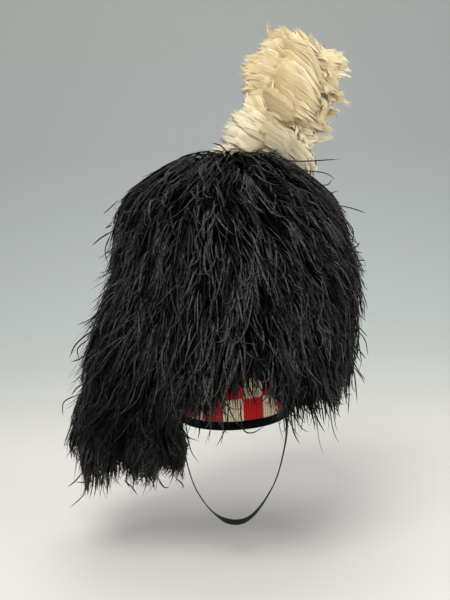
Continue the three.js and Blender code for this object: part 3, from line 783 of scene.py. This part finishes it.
def crown_at(angle, down, proud):
    """A point of the plumage's form at an angle and a share of the way down, standing out by some amount."""
    half_width, z, lean = (np.interp(down, crown_share, column) for column in crown_line.T)
    slope_r, slope_z = (np.interp(down, crown_share, column) for column in crown_slope.T)
    reach = half_width - slope_z * proud
    z = z + slope_r * proud - np.maximum(down - 1, 0) * crown_length
    return np.stack([
        lean + reach * np.cos(angle), reach * CROWN_LENGTH_RATIO * np.sin(angle), z + 0 * angle], axis=-1)


def crown_out(angle, down):
    """The way out of the form. Past its end it looks out as the end does."""
    down = np.clip(down, 0, 1)
    return unit(crown_at(angle, down, 1.0) - crown_at(angle, down, 0.0))


def crown_radius(down):
    return np.interp(down, crown_share, crown_line[:, 0])


def hem_at(angle):
    return look_up(HEM, np.degrees(angle) % 360)


def taper(stations, sharpness, root=0.45):
    """The share of its full width that a ribbon has along its length."""
    s = np.linspace(0, 1, stations)
    return (root + (1 - root) * smoothstep(s / 0.3)) * np.clip(1 - s**sharpness, 0.04, 1)


def swing_out(angle, down):
    """How far the plumage swings out over the tails on the wearer's right."""
    degrees = np.degrees(angle) % 360

    def past(first, last):
        return smoothstep((degrees - first) / (last - first))

    return past(*SWING_BACK_DEG) * past(*SWING_FRONT_DEG) * look_up(SWING, down)


def held_in(proud, angle, down):
    """Holds strands near the form: closest before and behind, looser at the sides, loosest on top."""
    lower = smoothstep((down - 0.2) / 0.3)
    to_left = np.cos(angle)
    sideways = LOOSENESS["front"] + LOOSENESS["sides"] * np.abs(to_left)
    sideways = sideways + LOOSENESS["right"] * np.maximum(-to_left, 0) ** 4
    limit = sideways * lower - LOOSENESS["under"]
    over = np.maximum(proud - limit, 0)
    return np.minimum(proud, limit + 0.5 * over * (1 - lower))


def side_off(angle, down):
    """How far strands at the two sides stand off the form."""
    left = look_up(SIDES_OFF, down, 1) * np.maximum(np.cos(angle), 0) ** 2
    return left + look_up(SIDES_OFF, down, 2) * np.maximum(-np.cos(angle), 0) ** 2


def thinned(rng, angle, start):
    """Which tufts stay: the skirt's lower part is sparse on the left."""
    sector = smoothstep((np.cos(angle) - 0.8) / 0.15) * smoothstep((start - 0.5) / 0.15)
    return rng.random(len(angle)) > 0.5 * sector


def tuft_places(rng, tufts, length, short, curtain):
    """Where tufts start, as an angle and a share of the way down, and the share that they reach over."""
    if curtain:
        angle = np.radians(rng.uniform(*CURTAIN_DEG, tufts))
        start = rng.uniform(*CURTAIN_START, tufts)
        hem = rng.uniform(*CURTAIN_HEM, tufts)
    else:
        angle = rng.random(tufts) * TAU
        start = np.interp(rng.random(tufts), crown_area / crown_area[-1], crown_share)
        hem = hem_at(angle) - short + rng.uniform(*HEM_RAGGED, tufts)
    reach = rng.uniform(*length, tufts) / crown_length
    keep = (start < hem - LEAST_REACH) & thinned(rng, angle, start)
    start = np.maximum(start - np.maximum(start + reach - hem, 0), 0.0)
    return angle[keep], start[keep], reach[keep]


def crown_tufts(rng, strands, tufts, members, length, half_width, depth, splay, tone, stations, flick=4.5,
                short=0.0, curtain=False):
    """Tufts of ribbons that come out from under the ones above, droop over the form and curl at their tips.
    A curtain hangs from the crown's edge over the tails."""
    angle, start, reach = tuft_places(rng, tufts, length, short, curtain)
    n = len(angle)
    total = (n * members, 1)
    swirl = SWIRL * np.sin(3.0 * angle + 9.0 * start) * np.sin(7.0 * angle - 13.0 * start + 1.0)
    fan = -FAN * np.sin(2 * angle) * smoothstep(start / 0.3)

    def each(key, values):
        """A tuft's values for its members, who differ a little."""
        return np.repeat(values, members)[:, None] + rng.normal(0, 1, total) * MEMBER_SPREAD[key]

    s = 1 - (1 - np.linspace(0, 1, stations)) ** 1.25
    root = np.clip(each("start", start), 0.0, 1.05)
    span = np.clip(each("reach", reach) * rng.uniform(0.75, 1.1, total), 0.06, 0.4)
    side = each("side", np.zeros(n)) * (1 - 0.5 * s)
    slope = each("slope", swirl + fan + rng.normal(0, splay, n))
    curve = each("curve", rng.normal(0, TUFT_CURVE, n))
    rise = each("rise", rng.uniform(*depth, n))
    hook = each("hook", rng.normal(0, TUFT_HOOK, n))
    wave = rng.normal(0, WAVE, total)
    phase = rng.random(total) * TAU
    away = np.abs(rng.normal(0, flick, total))
    down = root + span * (s - 0.02 * np.abs(hook) * s**5)
    side = side + slope * span * crown_length * s + curve * s**2
    side = side + wave * np.sin(phase + 6.5 * s) * s + hook * s**5
    around = np.repeat(angle, members)[:, None]
    around = around + side / np.maximum(crown_radius(np.clip(down, 0, 1)), LEAST_RADIUS)
    proud = -ROOT_DEPTH + (ROOT_DEPTH + rise) * smoothstep(s / 0.5) + away * s**3
    proud = held_in(proud, around, down) + side_off(around, down)
    if curtain:
        proud = proud + swing_out(around, down)
    width = rng.uniform(*half_width, total) * taper(stations, 4.0)
    # Random tone, times the painted shade for where the tuft starts
    tone_and_painted_shade = np.clip(each("tone", rng.uniform(*tone, n)), 0.0, 1) * look_up(CROWN_PAINTED_SHADE, root)
    twist = rng.normal(0, 0.6, total)
    strands.add(crown_at(around, down, proud), crown_out(around, down), width, tone_and_painted_shade, twist, STRAND_CUP)


def crown_bed():
    """The under-plumage, near black with painted shade: a closed shell with a ragged lower edge, which hides
    where strands start.
    """
    rng = np.random.default_rng(SEEDS["underplumage"])
    angle = turns(BED_COLUMNS)
    front = smoothstep((-np.sin(angle) - 0.8) / 0.1)
    edge = hem_at(angle) - 0.03 - 0.02 * front + 0.03 * rng.random(BED_COLUMNS)
    rows = []
    for share in (0.012, *np.linspace(0.06, 1, 30)):
        rows.append(crown_at(angle, share * edge, rng.normal(0, BED_ROUGH, BED_COLUMNS) - BED_SINK))
    hem = crown_at(angle, edge, -BED_HEM_SINK)
    rows.append(hem)
    for z in (SKIRT_ROOT, *CAP_SECTIONS[2:, 0]):
        rows.append(cap_wall(angle, np.maximum(z, hem[:, 2] + BED_HEM_RISE), BED_CLEAR))
    tone = np.full((len(rows), BED_COLUMNS), DEEP_SHADE_TONE)
    return grid_object("crown_underplumage", np.stack(rows), feather_black, tone=tone, along=tone)


def add_crown():
    """The plumage, in one piece of strands for each side of the bonnet."""
    place(crown_bed(), "black_feather", "crown_plumage")
    rng = np.random.default_rng(SEEDS["crown"])
    everything = Strands()
    for layer in CROWN_LAYERS:
        crown_tufts(rng, everything, **layer)
    for layer in CURTAIN_LAYERS:
        crown_tufts(rng, everything, **layer, curtain=True)
    add_fringe(rng, everything)
    add_strays(rng, everything)
    for name, chosen in split_by_side(everything).items():
        place(chosen.build(name, feather_black), "black_feather")


def add_fringe(rng, strands):
    """Fine, nearly straight strands that hang from the front hem over the band, sparser towards the rim."""
    total = (FRINGE_STRANDS, 1)
    s = np.linspace(0, 1, FRINGE_STATIONS)
    degrees = np.interp(rng.random(total), FRINGE[:, 1], FRINGE[:, 0])
    hem = hem_at(np.radians(degrees))
    reach = look_up(FRINGE, degrees, 2) * rng.random(total) ** 1.3
    root = hem - rng.uniform(0.06, 0.12, total)
    down = root + (hem + reach - root) * s
    side = rng.normal(0, 4, total) * s + rng.normal(0, 2.5, total) * s**3
    angle = np.radians(degrees) + side / crown_radius(np.clip(down, 0, 1))
    proud = held_in(rng.uniform(-8, 0, total), angle, down)
    width = rng.uniform(0.35, 0.65, total) * taper(FRINGE_STATIONS, 3.0)
    tone = rng.uniform(0.0, 0.6, total)
    twist = rng.normal(0, 0.4, total)
    strands.add(crown_at(angle, down, proud), crown_out(angle, down), width, tone, twist, STRAND_CUP)


def add_strays(rng, strands):
    """The table's single strands, which face the front."""
    lines = []
    for y, group in STRAYS:
        for route in group:
            points = [(x, y, z) for x, z in zip(route[::2], route[1::2])]
            lines.append(smooth_curve(points, STRAY_STATIONS))
    total = (len(lines), 1)
    width = rng.uniform(0.7, 1.0, total) * taper(STRAY_STATIONS, 7.0)
    tone = rng.uniform(0.0, 0.3, total)
    strands.add(np.stack(lines), -BACKWARD, width, tone, rng.normal(0, 0.3, total), STRAND_CUP)


def split_by_side(strands):
    """Shares the ribbons out among the bonnet's left, back, right and front."""
    groups = {"crown_strands_" + side: Strands() for side in ("left", "back", "right", "front")}
    for vertices, pattern, *values in strands.blocks:
        x, y, _ = vertices.mean(axis=1).T
        quarter = np.floor((np.degrees(np.arctan2(y, x)) + 45) % 360 / 90)
        for i, group in enumerate(groups.values()):
            pick = quarter == i
            group.keep(vertices[pick], pattern, *(value[pick] for value in values))
    return groups


# The tails

def along_route(route):
    """Two functions of the share of a tail's length: points round its route, and its radius."""
    line = smooth_curve(np.hstack([route, np.array(TAIL_RADII)[:, None]]), 80)
    share = np.linspace(0, 1, len(line))
    ahead = unit(np.gradient(line[:, :3], axis=0))
    side = unit(np.cross(BACKWARD, ahead))
    fore = np.cross(ahead, side)

    def read(values, t):
        return np.stack([np.interp(t, share, column) for column in values.T], -1)

    def at(t, angle, reach):
        """Points at an angle and a reach, past the route's end where t is over 1, and the way out to them."""
        beyond = np.maximum(t - 1, 0)[..., None] * -UPWARD * TAIL_DROP
        out = read(side, t) * np.cos(angle)[..., None] + read(fore, t) * np.sin(angle)[..., None]
        return read(line[:, :3], t) + out * reach[..., None] + beyond, unit(out)

    def radius(t):
        return np.interp(t, share, line[:, 3])

    return at, radius


def add_tail(name, route, seed):
    """A tail: a core, near black with painted shade, and ribbons that leave it along the route and fan out at
    the end.
    """
    rng = np.random.default_rng(seed)
    at, radius = along_route(route)
    total = (TAIL_TUFTS * TAIL_MEMBERS, 1)

    def each(values):
        """A tuft's values for its members."""
        return np.repeat(values, TAIL_MEMBERS)[:, None]

    s = np.linspace(0, 1, TAIL_STATIONS)
    end = each(rng.uniform(0.5, 1.0, TAIL_TUFTS) ** 0.6 * 1.08) * rng.uniform(0.92, 1.03, total)
    start = np.maximum(end - rng.uniform(*TAIL_LENGTHS, total), 0.0)
    hook = each(rng.normal(0, 6, TAIL_TUFTS)) + rng.normal(0, 5, total)
    t = start + (end - start) * (s - 0.014 * np.abs(hook) * s**5)
    angle = each(rng.random(TAIL_TUFTS) * TAU) + rng.normal(0, 0.22, total)
    angle = angle + each(rng.normal(0, 0.3, TAIL_TUFTS)) * s
    angle = angle + each(rng.normal(0, 0.55, TAIL_TUFTS)) * s**4
    fullness = each(rng.uniform(*TAIL_FULLNESS, TAIL_TUFTS))
    reach = radius(t) * (0.3 + fullness * smoothstep(s / 0.6))
    reach = np.maximum(reach + rng.normal(0.5, 3.5, total) * s**4, 1.0)
    points, out = at(t, angle, reach)
    points = points + np.cross(out, UPWARD) * (hook * s**4)[..., None]
    width = rng.uniform(*TAIL_HALF_WIDTHS, total) * taper(TAIL_STATIONS, 4.0)
    tone = each(rng.uniform(*TAIL_TONES, TAIL_TUFTS)) + rng.normal(0, 0.15, total)
    strands = Strands()
    strands.add(points, out, width, np.clip(tone, 0.02, 1), rng.normal(0, 0.7, total), TAIL_CUP)
    core_t = np.linspace(*TAIL_CORE_SPAN, TAIL_CORE_RINGS)[:, None]
    core, _ = at(*np.broadcast_arrays(core_t, turns(TAIL_CORE_SIDES), radius(core_t) * TAIL_CORE_SHARE))
    strands.add_core(core, DEEP_SHADE_TONE)
    place(strands.build(name + "_strands", feather_black), "black_feather", name)


# The hackle

def drift(rng, feathers):
    """Unevenness that runs smoothly from barb to barb, about one in size."""
    rough = rng.normal(0, 1, (feathers, BARBS + 6))
    return sum(rough[:, i:i + BARBS] for i in range(7)) / math.sqrt(7)


def bunches(rng, spread):
    """Shares each feather's barbs out into bunches: the pull to the bunch's middle, and its own length."""
    n = len(spread)
    group = np.cumsum(rng.random((n, BARBS)) < BUNCH_CHANCE, axis=1)
    cell = group + np.arange(n)[:, None] * BARBS
    total = np.bincount(cell.ravel(), spread.ravel(), n * BARBS)
    count = np.bincount(cell.ravel(), minlength=n * BARBS)
    middle = (total / np.maximum(count, 1))[cell]
    return middle - spread, np.take_along_axis(rng.normal(0, 1, (n, BARBS)), group, axis=1)


def barb_reach(rng, widths, plates):
    """Where each barb lies across its feather, the pull to its bunch, and where it starts and ends."""
    n = len(widths)
    narrow = smoothstep((20 - widths) / 10)[:, None]
    spread = np.linspace(-1, 1, BARBS) + rng.normal(0, 0.02, (n, BARBS))
    pull, longer = bunches(rng, spread)
    rounding = np.where(plates[:, None], 0.28, 0.36 + 0.24 * narrow)
    end = 1 - rounding * np.abs(spread) ** (2.2 - 0.9 * narrow) + 0.08 * longer * (0.4 + 0.6 * narrow)
    end = np.minimum(end + 0.02 * drift(rng, n) + rng.normal(0, 0.03, (n, BARBS)), 1.04)
    start = np.where(plates[:, None], 0.0, np.clip(end - 0.5 - 0.3 * np.abs(spread), 0, 1))
    return (values[..., None] for values in (spread, pull * (0.15 + 0.5 * narrow), start, end))


def fan_feathers(rng, strands, mean_spread, roots, middles, tips, faces, widths, plates):
    """Feathers as fans of barbs: each barb leaves the shaft and bends round until it runs along it.
    A plate's barbs run its whole length. Tips fray into bunches; edges and tips are paler with painted
    highlight, roots darker with painted shade where others cover them."""
    n = len(roots)
    tones = np.clip(rng.normal(*mean_spread, n), 0.1, 1) + look_up(FOOT_PAINTED_LIGHT, roots[:, 2])
    chord = unit(tips - roots)
    face = unit(faces - chord * np.sum(faces * chord, axis=1)[:, None])[:, None, None]
    spread, pull, start, end = barb_reach(rng, widths, plates)
    plate = plates[:, None, None]
    width = widths[:, None, None]
    s = np.where(plate, PLATE_STATIONS, np.linspace(0, 1, BARB_STATIONS))
    t = start + (end - start) * s
    shoulder = np.sqrt(1 - (1 - np.clip(t / PLATE_SHOULDER, 0, 1)) ** 2)
    out = width * (spread * np.where(plate, shoulder, 2 * s - s**2) + pull * s**2.5)
    lift = 0.25 * drift(rng, n)[..., None] * s**2 - 0.22 * out**2 / width
    a, b, c = (points[:, None, None] for points in (roots, middles, tips))
    u = t[..., None]
    shaft = a * (1 - u) * (1 - 2 * u) + b * 4 * u * (1 - u) + c * u * (2 * u - 1)
    ahead = unit(a * (4 * u - 3) + b * (4 - 8 * u) + c * (4 * u - 1))
    line = shaft + unit(np.cross(ahead, face)) * out[..., None] + face * lift[..., None]
    across = unit(np.cross(unit(np.gradient(line, axis=2)), face))
    lean = (0.05 * drift(rng, n) + rng.normal(0, 0.03, (n, BARBS)))[..., None, None]
    half = (2.0 * width / BARBS + 0.1) * BARB_SHAPE
    across = (across * np.cos(lean) + face * np.sin(lean)) * half[..., None]
    tone = tones[:, None] + 0.06 * drift(rng, n) + rng.normal(0, 0.07, (n, BARBS))
    # Painted highlight on edges and tips, painted shade on roots where other feathers cover them and on a
    # plate's middle
    edge = np.where(plate, 0.6 * np.abs(spread) ** 5 - 0.08, 0.35 * np.abs(spread) ** 3 * s)
    tone = np.clip(tone[..., None] + edge + 0.2 * s**2 - 0.35 * (1 - t) ** 3, 0, 1)
    column = (np.arange(BARBS)[:, None, None] + np.array([0.1, 0.9])) / BARBS
    inside = np.stack(np.broadcast_arrays(column, s[..., None]), -1)
    quads = grid_quads(BARB_STATIONS, 2) + (np.arange(BARBS) * BARB_STATIONS * 2)[:, None, None]
    strands.keep(
        np.stack([line - across, line + across], axis=3).reshape(n, -1, 3), quads.reshape(-1, 4),
        inside.reshape(n, -1, 2), np.repeat(tone.reshape(n, -1), 2, axis=1),
        np.repeat(t.reshape(n, -1), 2, axis=1))


def hackle_body_at(z):
    """The body's middle and half width at a height."""
    return look_up(HACKLE_BODY, z, 1), look_up(HACKLE_BODY, z, 2)


def hackle_depth(x, z):
    """How far the body's front stands before its middle plane, seen at a place from the front."""
    middle, half = hackle_body_at(z)
    return HACKLE_DEPTH * half * np.sqrt(np.clip(1 - ((x - middle) / half) ** 2, 0, 1))


def hackle_layer(rng, way, depth, loose):
    """One layer of the table's feathers, before (-1) or behind (+1) the body's middle plane. Each drooping
    plate lies over the one above it, with that edge raised."""
    rows = HACKLE_FEATHERS + rng.normal(0, loose, HACKLE_FEATHERS.shape) * LOOSE_COLUMNS
    n = len(rows)
    drooping = np.arange(n) < DROOPING_PLATES
    shrink = (1 - 0.04 * loose * rng.random(n))[:, None]
    root, middle, tip, rise = rows[:, 0:2], rows[:, 2:4], rows[:, 4:6], rows[:, 7]
    middle = root + (middle - root) * shrink
    tip = root + (tip - root) * shrink
    root_depth = hackle_depth(*root.T) * depth * np.where(drooping, 0.8, 0.85) + np.minimum(rise, 0)
    middle_depth = hackle_depth(*middle.T) * depth + rise
    tip_depth = hackle_depth(*tip.T) * depth
    loose_end = rng.normal(0, 5, n) * smoothstep((12 - tip_depth) / 12)
    tip_depth = tip_depth + 3 + rise
    centre, half = hackle_body_at(tip[:, 1])
    looks = np.stack([(tip[:, 0] - centre) / half * 0.6, np.full(n, way), rng.normal(0.15, 0.1, n)], -1)
    looks = looks + drooping[:, None] * DROOP_LOOK + rng.normal(0, 0.1, looks.shape)

    def at(place, y):
        return np.stack([place[:, 0], HACKLE_MIDDLE_Y + y, place[:, 1]], -1)

    return (at(root, way * root_depth), at(middle, way * middle_depth), at(tip, way * tip_depth + loose_end),
            looks, 1.15 * np.maximum(rows[:, 6], 1.5), np.arange(n) < PLATES)


def around_body(turn, z, reach):
    """Points round the body at a height, at a share of its half width."""
    middle, half = hackle_body_at(z)
    x = middle + reach * half * np.cos(turn)
    y = HACKLE_MIDDLE_Y + HACKLE_DEPTH * reach * half * np.sin(turn)
    return np.stack(np.broadcast_arrays(x, y, z), -1)


def side_plates(rng):
    """Plates that close the body's two sides, between the layers, and a collar at the foot."""
    count = SIDE_PLATES["count"] + COLLAR_PLATES["count"]
    collar = np.arange(count) >= SIDE_PLATES["count"]
    turn = rng.choice([0.0, TAU / 2], count) + rng.uniform(-0.9, 0.9, count)
    turn[collar] = turns(COLLAR_PLATES["count"])
    root = np.where(collar, COLLAR_PLATES["root"], rng.uniform(*SIDE_PLATES["root"], count))
    collar_rise = rng.uniform(*COLLAR_PLATES["rise"], count)
    rise = np.where(collar, collar_rise, rng.uniform(*SIDE_PLATES["rise"], count))
    faces = np.stack([np.cos(turn), np.sin(turn), rng.normal(0.1, 0.15, count)], -1)
    widths = np.where(collar, COLLAR_PLATES["half_width"], rng.uniform(*SIDE_PLATES["half_width"], count))
    return (around_body(turn, root, 0.5), around_body(turn, root + 0.5 * rise, np.where(collar, 0.8, 0.9)),
            around_body(turn, root + rise, 0.97), faces, widths, np.full(count, True))


def side_fans(rng):
    """Frayed feathers over the body's two sides: they droop on the left, rise on the right, and hang round
    the foot."""
    count = SIDE_FANS["count"] + FOOT_FANS["count"]
    low = np.arange(count) >= SIDE_FANS["count"]
    left = rng.random(count) < LEFT_SHARE
    turn = np.where(left, 0.0, TAU / 2) + rng.uniform(-1.1, 1.1, count)
    turn[low] = turns(FOOT_FANS["count"])
    root = np.where(low, FOOT_FANS["root"], rng.uniform(*SIDE_FANS["root"], count))
    low_fall = rng.uniform(*FOOT_FANS["fall"], count)
    fall = np.where(low, low_fall, np.where(left, 1, -1) * rng.uniform(*SIDE_FANS["fall"], count))
    faces = np.stack([np.cos(turn), np.sin(turn), rng.normal(0.2, 0.2, count)], -1)
    widths = rng.uniform(*SIDE_FANS["half_width"], count)
    return (around_body(turn, root, 0.55), around_body(turn, root - 0.4 * fall, 0.9),
            around_body(turn, root - fall, np.where(low, 1.1, 1.0)), faces, widths, np.full(count, False))


def add_hackle():
    """The table's feathers in loose layers before and behind the body's middle plane, over a plain core that
    closes the view between them."""
    rng = np.random.default_rng(SEEDS["hackle"])
    layers = [hackle_layer(rng, *layer) for layer in HACKLE_LAYERS] + [side_plates(rng)]
    feathers = Strands()
    fan_feathers(rng, feathers, BODY_TONES, *(np.concatenate(part) for part in zip(*layers)))
    core = around_body(turns(CORE_SIDES), HACKLE_BODY[:, :1], CORE_SHARE)
    feathers.add_core(core - CORE_SINK * UPWARD, CORE_PAINTED_LIGHT_TONE, along=0.0)
    place(feathers.build("hackle_feathers", feather_cream, FEATHER_MARGIN), "cream_feather", "hackle")


def add_hackle_sides():
    """The frayed feathers over the hackle's sides, as a piece of their own."""
    rng = np.random.default_rng(SEEDS["hackle_sides"])
    feathers = Strands()
    fan_feathers(rng, feathers, SIDE_TONES, *side_fans(rng))
    place(feathers.build("hackle_side_feathers", feather_cream, FEATHER_MARGIN), "cream_feather")


# The band, the binding, the cap and the strap

def add_band():
    """A knitted band: every stitch is a pair of yarn legs, red or cream by its square."""
    rng = np.random.default_rng(SEEDS["stitches"])
    columns = DICE_ROUND * STITCHES_PER_DICE
    angles = ellipse_angles(columns * 2, *BAND_MEAN) + math.radians(DICE_TURN_DEG)
    pitch = TAU * math.sqrt(np.sum(BAND_MEAN**2) / 2) / columns
    height = (BAND_TOP - BAND_FOOT) / STITCH_ROWS
    column, row = (a.ravel() for a in np.meshgrid(np.arange(columns), np.arange(STITCH_ROWS)))
    dye = ((column // STITCHES_PER_DICE + row // STITCH_ROWS_PER_DICE) % 2).astype(float)
    middle = angles[column * 2][:, None]
    step = angles[column * 2 + 1][:, None] - middle
    legs = Strands()
    s = np.linspace(0, 1, len(YARN_SHAPE))
    for hand in (-1.0, 1.0):
        angle = middle + step * (hand * (0.62 - 0.5 * s**1.1) + rng.normal(0, 0.03, middle.shape))
        z = BAND_FOOT + (row[:, None] + 1.25 - 1.35 * s) * height
        z = np.clip(z, BAND_FOOT + BAND_EDGE, BAND_TOP - BAND_EDGE)
        bulge = YARN_BULGE * np.sin(np.pi * np.clip(s * 0.95 + 0.02, 0, 1))
        points = cap_wall(angle, z, BAND_OFFSET + BAND_WALL - YARN_SINK + bulge)
        out = unit(cap_wall(angle, z, 1.0) - cap_wall(angle, z, 0.0))
        legs.add(points, out, YARN_HALF_WIDTH * pitch * YARN_SHAPE, dye, 0.0, YARN_CUP)
    add_backing(legs, column, row, dye, angles, height)
    place(legs.build("diced_band_knit", wool), "diced_knit", "diced_band")


def add_backing(strands, column, row, dye, angles, height):
    """A plain cell of cloth behind every stitch, in its colour, outside and inside."""
    left = angles[(column * 2 - 1) % len(angles)]
    right = angles[(column * 2 + 1) % len(angles)]
    low = BAND_FOOT + row * height
    high = low + height
    corners = ((left, low), (right, low), (right, high), (left, high))
    inside = np.tile(np.array([(0, 0), (1, 0), (1, 1), (0, 1.0)]), (len(dye), 1, 1))
    tone = np.repeat(dye[:, None], 4, axis=1)
    outer = BAND_OFFSET + BAND_WALL - BACKING_SINK
    for offset, order in ((outer, (0, 1, 2, 3)), (BAND_OFFSET, (0, 3, 2, 1))):
        face = np.stack([cap_wall(angle, z, offset) for angle, z in corners], axis=1)
        # An along of -1 puts the backing in the knit's painted shade
        strands.keep(face, np.array([order]), inside, tone, np.full(tone.shape, -1.0))


def add_binding():
    """The ribbon folded round the rim, with rounded edges and a slight swell between them."""
    outer = BAND_OFFSET + BAND_WALL + BINDING_PROUD
    bend = np.linspace(0, TAU / 4, 5)
    first = BINDING_ROUND * (1 - np.cos(bend))
    last = BINDING_ROUND * (1 - np.sin(bend))
    profile = [
        (BINDING_HEIGHT, BAND_OFFSET), *zip(BINDING_HEIGHT - first, outer - last),
        (BINDING_HEIGHT / 2, outer + BINDING_BULGE), *zip(last, outer - first),
        (0.0, -CAP_WALL), (BINDING_FOLD, -CAP_WALL), (BINDING_FOLD, BAND_OFFSET)]
    angle = turns(BINDING_COLUMNS)
    rows = np.stack([cap_wall(angle, z, offset) for z, offset in profile])
    around = np.tile(angle * RIM_RADIUS, len(profile))
    ring = grid_object("rim_binding_ribbon", rows, binding_black, wrap_rows=True, tone=around)
    place(ring, "binding_ribbon", "rim_binding")


def add_cap():
    """The cap's wall, outside and inside, closed at the top."""
    angle = turns(CAP_COLUMNS)
    outer = [cap_wall(angle, z, 0.0) for z in CAP_HEIGHTS[::-1]]
    inner = [cap_wall(angle, z, -CAP_WALL) for z in CAP_HEIGHTS]
    inner[-1][:, 2] -= CAP_WALL
    crown = CAP_BUTTON * outer[0]
    crown[:, 2] = CAP_TOP
    under = CAP_BUTTON * inner[-1]
    under[:, 2] = CAP_TOP - CAP_WALL
    rows = np.stack([crown, *outer, *inner, under])
    place(grid_object("cap_lining", rows, cloth_black), "cap_cloth", "cap")


def add_strap():
    """A flat strip with rounded edges, whose broad side turns outward at its lowest part."""
    line = smooth_curve(STRAP_ROUTE, STRAP_STATIONS)
    ahead = unit(np.gradient(line, axis=0))
    inward = STRAP_FACES - line
    inward = unit(inward - ahead * np.sum(inward * ahead, axis=1)[:, None])
    across = np.cross(ahead, inward)
    turn = np.radians(look_up(STRAP_TURN, np.linspace(0, 1, STRAP_STATIONS)))[:, None]
    thick_way = inward * np.cos(turn) + across * np.sin(turn)
    wide_way = across * np.cos(turn) - inward * np.sin(turn)
    corner = turns(STRAP_SIDES)
    section = np.stack([np.cos(corner), np.sin(corner)], -1)
    section = np.sign(section) * np.abs(section) ** STRAP_ROUNDING
    section = section * np.array([STRAP_WIDTH / 2, STRAP_THICK / 2])
    rows = line[:, None] + wide_way[:, None] * section[:, :1] + thick_way[:, None] * section[:, 1:]
    place(grid_object("chin_strap_leather", rows, strap_black), "strap_leather", "chin_strap")


add_camera()
add_stage()
for name, values in LIGHTS.items():
    add_light(name, *values)
add_room()
feather_black = black_feather()
feather_cream = cream_feather()
wool = knit()
binding_black = ribbon()
cloth_black = cap_cloth()
strap_black = leather()
add_crown()
for i, (tail, route) in enumerate(TAILS.items()):
    add_tail(tail, route, SEEDS["tails"] + i)
add_hackle()
add_hackle_sides()
add_band()
add_binding()
add_cap()
add_strap()
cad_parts["hackle_stem"].data.materials.clear()
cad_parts["hackle_stem"].data.materials.append(wire())
